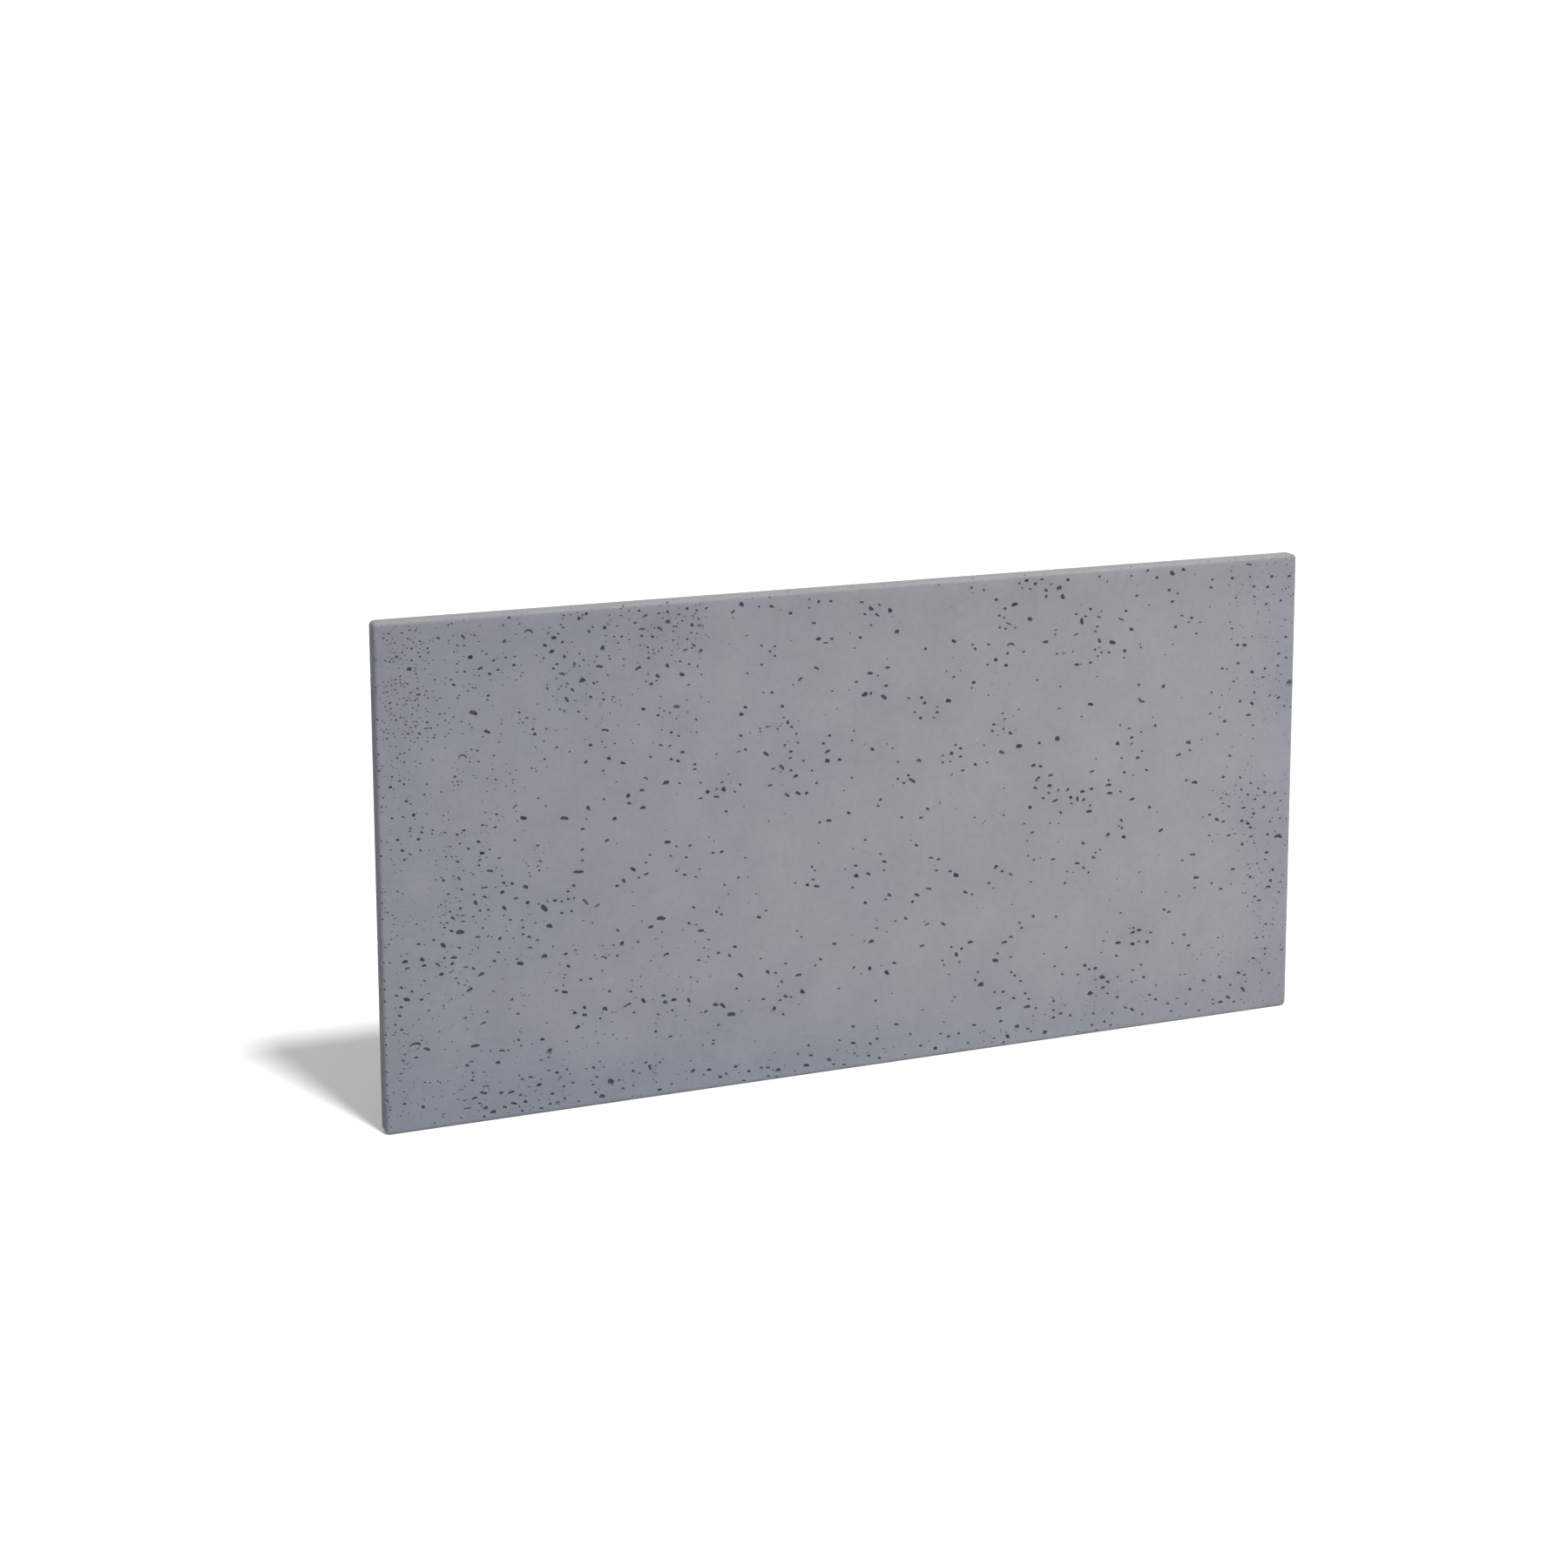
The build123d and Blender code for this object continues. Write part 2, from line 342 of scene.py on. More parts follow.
        (-89, 127, 11, 3.5, 5, 50), (-84, 106, 8, 5, -60), (-135, 103, 6, 3.5), (-106, 103, 7, 4, -50),
        (-121, 89, 7, 5, 65), (-42, 161, 6, 4, -15), (-191, 13, 5, 5), (-171, 23, 5.5, 4.5),
        (-154, 15, 5.5, 3.5), (-138, 17, 6, 3, -45), (-129, 16, 7, 3.5), (-116, 11, 7, 5.5, 40),
        (-79, 12, 8, 5), (-73, 24, 5, 4), (-49, 15, 8, 4, -60), (-17, 53, 5, 4.5), (-17, 32, 7, 4, -10),
        (5, 124, 6.5, 5, -60), (28, 116, 7.5, 5, -40), (38, 127, 6, 4, -45), (7, 158, 9, 4.5, 25),
        (53, 182, 6, 3.5, -35), (82, 171, 7, 3, 15), (104, 169, 7, 3.5, -40), (75, 144, 8.5, 3, 10, 30),
        (122, 127, 7, 5, 80), (141, 141, 9, 4, 20), (188, 135, 8.5, 4.5, 15), (176, 113, 10, 5, -5),
        (156, 84, 8.5, 7), (148, 91, 6, 3, -50), (187, 71, 5, 4), (41, 48, 6.5, 4), (181, 50, 9, 4.5, -5),
        (18, 8, 4.5, 4), (94, 10, 6, 5, -30), (112, 23, 5, 4.5), (147, 33, 5.5, 4), (194, 12, 9, 4, -60),
        (184, 33, 5, 4.5),
    ),
    "lower right": (
        (221, 47, 10, 5, 20), (207, 23, 8, 5, 45), (222, 18, 6.5, 3.5), (246, 10, 7, 6, 60),
        (258, 28, 5, 4.5), (202, 61, 5, 4), (268, 32, 5.5, 4, 20), (228, 164, 5, 4, -30), (461, 188, 9, 5),
        (515, 193, 8, 4, 10), (541, 180, 5, 4), (569, 164, 8, 3.5, -10), (572, 172, 5.5, 4, -30),
        (555, 147, 6.5, 3.5), (498, 169, 5, 4), (415, 151, 4.5, 4), (422, 147, 5.5, 4.5),
        (370, 126, 6.5, 5, 5), (379, 128, 7, 4.5, -20), (396, 123, 5, 3.5), (391, 111, 5.5, 5),
        (370, 111, 6.5, 5), (349, 115, 8, 5, -15), (347, 98, 5, 4), (445, 114, 6, 4), (452, 99, 5, 4),
        (302, 91, 5, 4.5), (317, 85, 6, 5, 60), (327, 72, 8, 7), (335, 65, 7, 4, -55), (328, 58, 8, 4, 40),
        (310, 53, 9, 5.5, -45), (387, 65, 4.5, 4), (349, 43, 5, 4), (396, 40, 6, 3.5), (361, 28, 6, 3, -50),
        (371, 24, 8, 3.5, -50), (455, 40, 5, 4.5), (475, 49, 8.5, 3.5, -35), (499, 51, 7, 4, -55),
        (527, 53, 6.5, 4, -40), (536, 49, 5, 4), (534, 30, 10, 4.5, -52), (512, 22, 8.5, 4, -35),
        (501, 17, 7.5, 4, 5), (549, 70, 5.5, 4, -20),
    ),
}

# The middling voids, all nearly round: x, z and size.
ROUND_VOIDS = {
    "upper left": (
        (-443, 594, 4), (-431, 586, 3.5), (-450, 586, 3), (-484, 577, 3), (-504, 567, 3.2), (-496, 566, 3),
        (-549, 562, 3.2), (-467, 531, 4), (-462, 546, 4), (-457, 535, 3.6), (-438, 539, 4),
        (-512, 528, 3.5), (-509, 522, 4.2), (-505, 536, 3), (-496, 536, 3.4), (-551, 521, 3.2),
        (-559, 517, 3), (-583, 507, 3.5), (-586, 520, 3), (-505, 506, 3), (-469, 506, 3.5), (-470, 501, 3),
        (-433, 483, 3.6), (-417, 462, 3.8), (-401, 461, 3), (-563, 470, 3.5), (-550, 469, 3.8),
        (-560, 477, 3), (-490, 445, 3), (-483, 443, 3.6), (-482, 430, 3), (-510, 415, 4), (-507, 409, 3),
        (-574, 416, 4), (-569, 412, 3), (-585, 410, 4), (-568, 448, 3), (-462, 407, 3), (-389, 438, 3.5),
        (-333, 405, 3.2), (-385, 571, 3.8), (-397, 573, 3.8), (-395, 579, 3), (-379, 578, 3),
        (-351, 592, 4), (-339, 541, 3.2), (-403, 544, 3.5), (-355, 538, 3.6), (-387, 536, 3.8),
        (-391, 531, 3.4), (-343, 510, 4), (-375, 512, 3.8), (-366, 491, 3), (-347, 494, 4), (-362, 478, 4),
        (-379, 480, 4.2), (-388, 519, 3), (-313, 555, 3.8), (-314, 575, 3), (-309, 587, 3.2),
        (-252, 598, 4), (-287, 591, 3.5), (-292, 577, 3.8), (-284, 561, 4), (-277, 547, 3.8),
        (-277, 515, 3.2), (-269, 539, 3.2), (-271, 559, 3.8), (-263, 586, 3.5), (-258, 580, 3),
        (-252, 587, 4), (-238, 583, 3.4), (-237, 527, 3.8), (-234, 575, 3), (-228, 553, 3.5),
        (-226, 523, 3.8), (-223, 560, 3.2), (-216, 586, 3.8), (-214, 576, 3.2), (-204, 588, 3.8),
        (-221, 580, 3), (-265, 465, 4.4), (-218, 456, 3.8), (-249, 443, 3.9), (-240, 438, 3.5),
        (-251, 427, 4), (-275, 416, 4), (-220, 402, 4), (-598, 489, 3.6), (-598, 449, 3.2),
        (-598, 430, 3.6),
    ),
    "upper middle": (
        (-138, 585, 3.2), (-74, 589, 3.4), (-74, 579, 3), (-46, 585, 4), (-2, 566, 3.6), (-7, 538, 4),
        (-135, 538, 3.4), (-118, 536, 3.5), (-124, 530, 3.6), (-135, 515, 3.6), (-153, 506, 3.5),
        (-95, 487, 3.2), (-133, 481, 3.2), (-13, 484, 4), (-249, 411, 3.8), (-128, 439, 4),
        (-115, 435, 3.5), (-91, 427, 3.5), (-156, 414, 3.8), (-89, 416, 4), (-56, 412, 4), (-19, 412, 4),
        (-16, 424, 3.5), (-2, 406, 3), (17, 576, 3.6), (6, 552, 3.5), (139, 588, 3.6), (156, 584, 3.5),
        (184, 548, 3.6), (178, 536, 3.6), (186, 534, 3.4), (199, 534, 3.6), (204, 589, 4.2),
        (208, 583, 3.5), (219, 581, 3.8), (226, 587, 4.8), (189, 503, 4), (211, 503, 4), (162, 491, 4),
        (15, 489, 3), (6, 468, 4.4), (56, 458, 4), (64, 440, 3.2), (90, 431, 3.2), (94, 444, 3),
        (183, 428, 3.6), (186, 421, 3.4), (184, 408, 3.6), (7, 401, 4.8),
    ),
    "upper right": (
        (248, 585, 3.5), (271, 589, 4.5), (296, 541, 4.2), (255, 527, 3.5), (254, 521, 4), (266, 497, 4),
        (257, 497, 3.5), (230, 466, 3.5), (205, 431, 3.2), (315, 590, 3.5), (326, 583, 3.2),
        (360, 588, 3.2), (383, 593, 4), (426, 561, 3.5), (353, 544, 4), (386, 549, 3.2), (313, 527, 4.2),
        (310, 521, 4.2), (310, 498, 4), (319, 494, 3.6), (351, 485, 3), (375, 496, 3.2), (304, 482, 4.2),
        (443, 523, 3.6), (420, 496, 3.2), (476, 575, 4), (531, 575, 4), (538, 549, 4), (556, 538, 4.2),
        (577, 541, 4), (506, 510, 4), (515, 488, 4.4), (576, 472, 4), (587, 466, 4), (556, 454, 4),
        (553, 443, 3.8), (510, 441, 4), (584, 515, 3.5), (586, 493, 4), (373, 448, 4), (478, 429, 3.8),
        (541, 424, 3.9), (564, 418, 3.9), (577, 414, 4.8), (586, 402, 4), (477, 402, 4), (379, 424, 3.6),
    ),
    "left": (
        (-567, 392, 4), (-562, 388, 3.2), (-584, 374, 3.5), (-571, 374, 3.5), (-563, 360, 3.5),
        (-550, 354, 3.5), (-563, 351, 3), (-578, 348, 4), (-538, 351, 3), (-523, 351, 3.2), (-564, 330, 4),
        (-571, 324, 3.5), (-552, 333, 3.2), (-509, 347, 3.6), (-479, 355, 4), (-464, 351, 3.8),
        (-462, 366, 3.6), (-412, 380, 3.2), (-333, 371, 3.5), (-411, 305, 3.8), (-360, 300, 4),
        (-483, 314, 4), (-460, 314, 4), (-496, 329, 3.6), (-506, 336, 3.5), (-441, 333, 3.6),
        (-484, 308, 3.6), (-491, 298, 3.5), (-521, 278, 3.6), (-505, 282, 4), (-491, 274, 4),
        (-455, 284, 4), (-445, 282, 4), (-441, 264, 4.5), (-474, 254, 4), (-484, 254, 4.4),
        (-519, 257, 3.5), (-533, 264, 3.2), (-456, 245, 3.5), (-448, 239, 3.8), (-434, 237, 4),
        (-433, 228, 3.6), (-433, 220, 4), (-426, 216, 4), (-523, 244, 3.8), (-526, 239, 3.4),
        (-492, 248, 3.6), (-481, 233, 3.5), (-403, 256, 3.4), (-386, 254, 3.5), (-378, 256, 3.5),
        (-371, 256, 3.5), (-374, 241, 3.5), (-378, 265, 3.9), (-416, 211, 3.8), (-318, 265, 4.4),
        (-509, 213, 4), (-539, 226, 3.6), (-527, 203, 4), (-463, 202, 4), (-598, 331, 3.4),
        (-598, 276, 3.4), (-598, 257, 3.2), (-598, 206, 3.6), (-239, 381, 3.6), (-220, 396, 4.4),
        (-213, 379, 3.2), (-244, 305, 3.5), (-227, 304, 4), (-277, 298, 3.6), (-251, 294, 3.6),
        (-291, 272, 3.6), (-244, 275, 3.5), (-220, 265, 3.6), (-215, 274, 3.5), (-282, 289, 3.5),
        (-223, 228, 3.9), (-229, 209, 4),
    ),
    "middle": (
        (-193, 369, 4), (-186, 377, 4), (-163, 372, 3.5), (-170, 364, 3.8), (-121, 387, 4), (-98, 383, 4),
        (-99, 398, 4), (-82, 393, 4), (-71, 380, 3.8), (-65, 364, 4), (-19, 366, 3.8), (-198, 292, 4),
        (-166, 258, 3.6), (-184, 251, 3.5), (-71, 261, 3.6), (-28, 253, 3.2), (-18, 229, 4), (-1, 287, 4),
        (-1, 208, 4.8), (-194, 219, 4), (-131, 213, 4), (42, 380, 3.5), (119, 394, 3.6), (126, 379, 4),
        (102, 382, 3.5), (102, 374, 3.5), (162, 368, 3.2), (158, 390, 3.6), (114, 357, 3.6), (42, 359, 3.5),
        (56, 362, 3.6), (19, 335, 4.2), (16, 328, 3.6), (19, 267, 4), (24, 246, 3.2), (94, 238, 4),
        (62, 202, 4.4), (26, 209, 4.4), (143, 202, 4), (224, 209, 4),
    ),
    "right": (
        (248, 321, 4), (261, 323, 4), (280, 304, 3.6), (265, 294, 4), (214, 285, 3.6), (228, 237, 3.6),
        (220, 243, 3.5), (275, 217, 4), (272, 202, 4.2), (360, 393, 3.6), (364, 373, 4), (379, 362, 3.5),
        (350, 356, 3.8), (488, 374, 4), (540, 381, 3.5), (448, 357, 4), (465, 369, 3.4), (349, 313, 4),
        (306, 299, 3.8), (352, 265, 4), (315, 237, 3.6), (321, 240, 3.4), (444, 318, 4.4), (539, 305, 4),
        (525, 298, 4), (516, 304, 3.6), (550, 297, 4), (535, 290, 4), (546, 283, 3.6), (575, 288, 4.6),
        (495, 289, 4.2), (503, 294, 3.6), (507, 277, 4.4), (479, 269, 4), (569, 251, 4.4), (584, 254, 3.9),
        (584, 277, 4), (479, 242, 4), (517, 240, 3.6), (546, 225, 4), (563, 201, 4), (305, 212, 4),
        (332, 329, 3.6), (348, 268, 3), (498, 282, 3.4),
    ),
    "lower left": (
        (-571, 196, 4.8), (-551, 197, 4.8), (-518, 195, 4.4), (-468, 192, 4.4), (-441, 191, 4),
        (-382, 190, 4.2), (-370, 193, 3.5), (-319, 180, 3.6), (-551, 179, 3.5), (-514, 177, 4),
        (-578, 174, 4), (-566, 168, 3.8), (-555, 157, 4), (-547, 163, 3.5), (-579, 151, 4),
        (-547, 143, 3.6), (-581, 141, 4), (-586, 131, 3.6), (-579, 124, 4.4), (-511, 171, 3.5),
        (-470, 156, 3.5), (-448, 143, 4), (-478, 132, 4), (-441, 125, 4), (-385, 161, 3.5), (-364, 156, 4),
        (-352, 156, 4), (-394, 147, 4), (-329, 138, 4.2), (-341, 106, 4), (-303, 134, 4), (-563, 89, 4.2),
        (-578, 87, 4), (-576, 94, 3.8), (-581, 72, 3.5), (-438, 86, 3.5), (-414, 65, 4), (-503, 71, 4),
        (-497, 52, 4.2), (-405, 51, 3.5), (-391, 41, 3.5), (-437, 45, 4), (-489, 23, 3.8), (-440, 26, 3.8),
        (-401, 22, 4.4), (-376, 32, 4), (-387, 29, 3.5), (-351, 26, 4), (-346, 35, 4), (-350, 47, 4),
        (-319, 27, 4), (-314, 16, 4), (-348, 16, 4.4), (-404, 10, 4), (-415, 6, 5), (-484, 6, 4.5),
        (-438, 6, 4.2), (-386, 14, 4), (-369, 8, 4), (-301, 18, 4), (-301, 36, 4), (-598, 185, 3.4),
        (-598, 174, 3.2), (-598, 160, 3.6), (-598, 120, 3.4), (-598, 108, 3.6), (-598, 96, 3.4),
        (-598, 76, 3.6), (-598, 60, 3.4), (-599, 41, 6), (-293, 194, 4), (-204, 186, 3.5), (-205, 165, 3.8),
        (-299, 108, 4), (-251, 104, 4), (-269, 102, 4), (-272, 81, 4), (-285, 44, 4), (-267, 42, 3.5),
        (-253, 13, 3.8),
    ),
    "lower middle": (
        (-192, 168, 4), (-91, 183, 3.8), (-60, 144, 4.2), (-67, 137, 4), (-106, 144, 4), (-138, 154, 3.5),
        (-16, 128, 4.4), (-119, 134, 4), (-111, 122, 4.2), (-169, 121, 3.6), (-113, 99, 3.8), (-99, 101, 4),
        (-36, 104, 3.8), (-109, 81, 3.8), (-193, 78, 4), (-183, 16, 3.8), (-90, 28, 3.5), (-76, 37, 4),
        (-35, 38, 4), (-43, 8, 4), (-29, 6, 4.4), (-129, 5, 4.8), (-118, 3, 4.4), (-161, 4, 4.6),
        (14, 174, 4), (112, 103, 3.8), (129, 134, 4), (115, 138, 3.8), (126, 117, 4), (103, 122, 3.6),
        (105, 116, 3.5), (152, 101, 3.8), (197, 141, 4.5), (197, 115, 4.4), (179, 122, 3.5), (198, 95, 4),
        (175, 72, 3.8), (120, 73, 3.8), (13, 82, 4), (60, 33, 4), (15, 33, 4), (6, 28, 4), (101, 28, 4),
        (126, 25, 3.8), (4, 13, 4), (24, 19, 3.5), (74, 16, 4.4), (175, 12, 3.8), (188, 5, 4), (139, 11, 4),
    ),
    "lower right": (
        (209, 158, 4), (212, 151, 4), (260, 160, 4.2), (275, 118, 4), (203, 90, 4), (211, 82, 4),
        (259, 95, 4), (270, 84, 3.8), (292, 80, 3.8), (218, 65, 4), (233, 44, 4), (258, 50, 4.4),
        (223, 57, 4.2), (282, 28, 3.8), (258, 38, 4), (274, 42, 4), (459, 175, 3.8), (484, 178, 3.8),
        (551, 197, 4), (587, 168, 4.2), (575, 186, 4.8), (585, 155, 4), (549, 153, 4), (352, 154, 3.8),
        (371, 132, 3.8), (379, 113, 4), (428, 105, 3.8), (328, 120, 3.2), (566, 114, 4.4), (553, 97, 4.4),
        (308, 85, 4), (317, 70, 4), (349, 70, 4), (371, 76, 4), (383, 82, 4), (370, 61, 4), (335, 50, 3.5),
        (405, 33, 4), (405, 52, 3.5), (566, 81, 4.4), (566, 74, 3.8), (591, 76, 4), (562, 52, 4),
        (573, 47, 4.2), (515, 38, 4.4), (538, 40, 3.5), (490, 16, 4), (489, 22, 3.6), (436, 30, 4),
        (423, 25, 4), (449, 21, 4), (428, 14, 4), (521, 15, 4), (469, 10, 4), (315, 26, 4.4),
        (342, 23, 4.4), (331, 13, 4.4), (340, 7, 4.4), (313, 11, 3.9), (386, 16, 4), (320, 3, 4.6),
        (598, 300, 3.2), (598, 120, 3.4),
    ),
}

# Scatters of small voids: lowest x, highest x, lowest z, highest z, how many, smallest and largest size.
SMALL_VOIDS = (
    (-595, 592, 300, 597, 60, 2.6, 3.8),
    (-595, 592, 3, 300, 80, 2.6, 3.8),
    (-595, -530, 200, 597, 24, 2.6, 3.4),
    (-595, -380, 5, 60, 14, 2.6, 3.6),
    (480, 595, 5, 590, 22, 2.2, 3.2),
    (-400, -200, 470, 598, 26, 2.6, 3.8),
    (-400, -200, 5, 200, 16, 2.6, 3.6),
)

# Scatters of pinholes, given in the same way.
PINHOLES = (
    (-588, -535, 520, 590, 40, 2.2, 3.6),
    (-590, -530, 450, 530, 30, 2.2, 3.4),
    (-595, -540, 460, 598, 60, 1.5, 3.2),
    (-540, -480, 480, 600, 24, 1.4, 3.0),
    (-515, -480, 405, 440, 15, 1.4, 3.0),
    (-598, -560, 300, 460, 30, 1.5, 3.0),
    (-530, -470, 200, 350, 50, 1.4, 3.0),
    (-600, -520, 200, 300, 30, 1.4, 3.0),
    (-590, -500, 100, 200, 40, 1.4, 3.0),
    (-585, -560, 60, 120, 25, 1.4, 3.0),
    (-600, -520, 5, 60, 20, 1.4, 3.0),
    (-515, -380, 5, 60, 34, 1.4, 3.0),
    (-380, 300, 3, 30, 60, 1.4, 3.0),
    (-300, -200, 540, 598, 24, 1.4, 3.0),
    (-130, -85, 405, 450, 8, 1.4, 3.0),
    (175, 205, 400, 432, 12, 1.4, 3.0),
    (500, 598, 400, 598, 76, 1.4, 3.0),
    (490, 598, 240, 330, 50, 1.4, 3.0),
    (530, 598, 100, 240, 50, 1.4, 3.0),
    (440, 598, 5, 110, 56, 1.4, 3.0),
    (180, 400, 5, 70, 40, 1.4, 3.0),
    (-600, 600, 300, 604, 110, 1.4, 3.0),
    (-600, 600, 2, 300, 100, 1.4, 3.0),
    (-600, 600, 594, 606, 70, 1.2, 3.0),
    (-606, -594, 0, 600, 60, 1.2, 3.4),
    (594, 606, 0, 600, 50, 1.2, 3.0),
    (-600, 600, -6, 5, 50, 1.2, 3.0),
    (-595, -400, 400, 598, 130, 2.0, 3.4),
    (-400, -200, 430, 598, 80, 2.0, 3.4),
    (-595, -400, 200, 400, 70, 1.8, 3.2),
    (-595, -400, 5, 200, 60, 1.8, 3.2),
    (-400, -200, 5, 200, 80, 1.8, 3.2),
    (520, 598, 100, 598, 60, 1.4, 2.4),
)

# The struck back and the sides of the backing, which trap far fewer voids.
BACKING_PINHOLES = (
    (-590, 590, 10, 590, 240, 1.0, 2.6),
    (-590, 590, 10, 590, 50, 2.4, 4.5),
    (-600, 600, 603, 610, 70, 1.2, 3.0),
    (-610, -603, 0, 600, 50, 1.2, 3.2),
    (603, 610, 0, 600, 40, 1.2, 3.0),
    (-600, 600, -10, -3, 40, 1.2, 2.6),
)


def waver(u, v, length, height, layer):
    """Smooth noise from about -1 to 1, whose patches are one length by one height, in millimetres."""
    return noise.noise(Vector((u / length, v / height, layer)))


class Skin:
    """One cast's outer side and edges, unrolled flat: u runs along the panel and v up it, from the middle."""

    def __init__(self, edge_radius, corner_radius, wall, plane, outward, edge_steps, tool_depth=0.0):
        self.edge = edge_radius
        self.tool_depth = tool_depth
        self.edge_steps = edge_steps
        self.corner = corner_radius
        self.plane = plane
        self.outward = outward
        self.core_u = LENGTH / 2 - corner_radius
        self.core_v = HEIGHT / 2 - corner_radius
        self.flat_corner = corner_radius - edge_radius
        self.quarter = edge_radius * math.pi / 2
        self.end = self.quarter + wall

    def past_flat(self, u, v):
        """How far a place lies past the flat, from a point on it, and the direction outwards."""
        base_u = min(max(u, -self.core_u), self.core_u)
        base_v = min(max(v, -self.core_v), self.core_v)
        away = math.hypot(u - base_u, v - base_v)
        return away - self.flat_corner, away, base_u, base_v

    def place(self, u, v, depth=0.0):
        """The point of space, in metres, that lies at a depth under a place of the skin."""
        past, away, base_u, base_v = self.past_flat(u, v)
        if past <= 0:
            x = u
            z = v
            y = self.plane - self.outward * depth
        else:
            turn = min(past / self.edge, math.pi / 2)
            slide = max(past - self.quarter, 0.0)
            reach = self.flat_corner + (self.edge - depth) * math.sin(turn)
            x = base_u + (u - base_u) / away * reach
            z = base_v + (v - base_v) / away * reach
            drop = self.edge - (self.edge - depth) * math.cos(turn) + slide
            y = self.plane - self.outward * drop
        return Vector((x * MM, y * MM, (z + HEIGHT / 2) * MM))

    def edge_lift(self, u, v):
        """How much a place is lightened, most of all halfway round the rounded edge."""
        past = self.past_flat(u, v)[0]
        if past <= 0 or past >= self.quarter:
            return 0.0
        return math.sin(math.pi * past / self.quarter)

    def relief(self, u, v):
        """How far the tool that finished the skin cut below its highest places."""
        past = self.past_flat(u, v)[0]
        if not self.tool_depth or past > 0:
            return 0.0
        marks = 0.5 + MARK_SHARE * waver(u, v, **SWEEPS) + MARK_SHARE * waver(u, v, **WAVES)
        return self.tool_depth * min(max(marks, 0.0), 1.0) * min(-past / MARK_EASE, 1.0)

    def outline(self, past):
        """Places all round the skin at one distance past its flat, anticlockwise."""
        radius = self.flat_corner + past
        corners = ((1, 1, 0), (-1, 1, 90), (-1, -1, 180), (1, -1, 270))

        def on_corner(number, turned):
            side_u, side_v, start = corners[number % 4]
            angle = math.radians(start + turned)
            return (
                side_u * self.core_u + radius * math.cos(angle),
                side_v * self.core_v + radius * math.sin(angle),
            )

        places = []
        for number in range(4):
            for step in range(CORNER_STEPS + 1):
                places.append(on_corner(number, 90 * step / CORNER_STEPS))
            last = places[-1]
            following = on_corner(number + 1, 0)
            steps = max(int(math.dist(last, following) / EDGE_SPACING), 1)
            for step in range(1, steps):
                share = step / steps
                places.append((
                    last[0] + (following[0] - last[0]) * share,
                    last[1] + (following[1] - last[1]) * share,
                ))
        return places


class Void:
    """One air void: a rim of places on the skin and a bowl under it."""

    def __init__(self, u, v, length, width, tilt, bend, points, bowl, draw, gloom=None):
        self.u = u
        self.v = v
        self.length = length
        self.width = min(width, length)
        self.tilt = math.radians(tilt)
        self.bend = math.radians(bend)
        self.points = points
        self.bowl = bowl
        self.lobes = [
            (order, draw.uniform(*SWELL) / (order - 1), draw.uniform(0, math.tau))
            for order in LOBE_ORDERS
        ]
        measure = self.width + self.length * MEASURED_LENGTH
        size = min(max((measure - PINHOLE_MEASURE) / LARGE_MEASURE, 0.0), 1.0)
        depths = [least + added * size for least, added in zip(PINHOLE_DEPTHS, ADDED_DEPTHS)]
        self.depth = self.width * draw.uniform(*depths)
        # The gloom is painted shade inside the void: more for a larger void, less towards the right end.
        self.gloom = draw.uniform(*PINHOLE_GLOOM) * (1 - size) + draw.uniform(*LARGE_GLOOM) * size
        self.gloom *= 1.0 - PALE_END_SHARE * min(max((u - PALE_END_START) / PALE_END_FADE, 0.0), 1.0)
        if gloom is not None:
            self.gloom = gloom
        self.rim = self.ring(1.0)
        self.reach = max(math.hypot(point[0] - u, point[1] - v) for point in self.rim)

    def ring(self, share):
        """The void's outline, drawn in evenly from its rim by a share of its half width."""
        half_length = self.length / 2 - (1 - share) * self.width / 2
        half_width = share * self.width / 2
        half_length = max(half_length, half_width * LEAST_RING)
        places = []
        for number in range(self.points):
            angle = math.tau * number / self.points
            swell = 1 + sum(size * math.cos(order * angle + phase) for order, size, phase in self.lobes)
            cosine = math.cos(angle)
            sine = math.sin(angle)
            along = half_length * math.copysign(abs(cosine) ** SQUARENESS, cosine) * swell
            across = half_width * math.copysign(abs(sine) ** SQUARENESS, sine) * swell
            if self.bend:
                radius = self.length / abs(self.bend)
                side = math.copysign(1.0, self.bend)
                swing = along / radius
                sagitta = radius * (1 - math.cos(self.bend / 2)) / 2
                along = (radius + side * across) * math.sin(swing)
                across = side * ((radius + side * across) * math.cos(swing) - radius + sagitta)
            places.append((
                self.u + along * math.cos(self.tilt) - across * math.sin(self.tilt),
                self.v + along * math.sin(self.tilt) + across * math.cos(self.tilt),
            ))
        return places


def inside(place, outline):
    """Whether a place lies within a closed outline."""
    u, v = place
    within = False
    previous = outline[-1]
    for point in outline:
        if (point[1] > v) != (previous[1] > v):
            crossing = (previous[0] - point[0]) * (v - point[1]) / (previous[1] - point[1]) + point[0]
            if u < crossing:
                within = not within
        previous = point
    return within


def gap_to(place, outline):
    """The shortest distance from a place to a closed outline."""
    best = math.inf
    start = outline[-1]
    for end in outline:
        run_u = end[0] - start[0]
        run_v = end[1] - start[1]
        length = run_u * run_u + run_v * run_v
        share = ((place[0] - start[0]) * run_u + (place[1] - start[1]) * run_v) / length
        share = min(max(share, 0.0), 1.0)
        gap = math.hypot(place[0] - start[0] - share * run_u, place[1] - start[1] - share * run_v)
        best = min(best, gap)
        start = end
    return best


def too_near(place, rim):
    """Whether a place lies inside a rim or hard beside it."""
    return inside(place, rim) or gap_to(place, rim) < LEAST_GAP


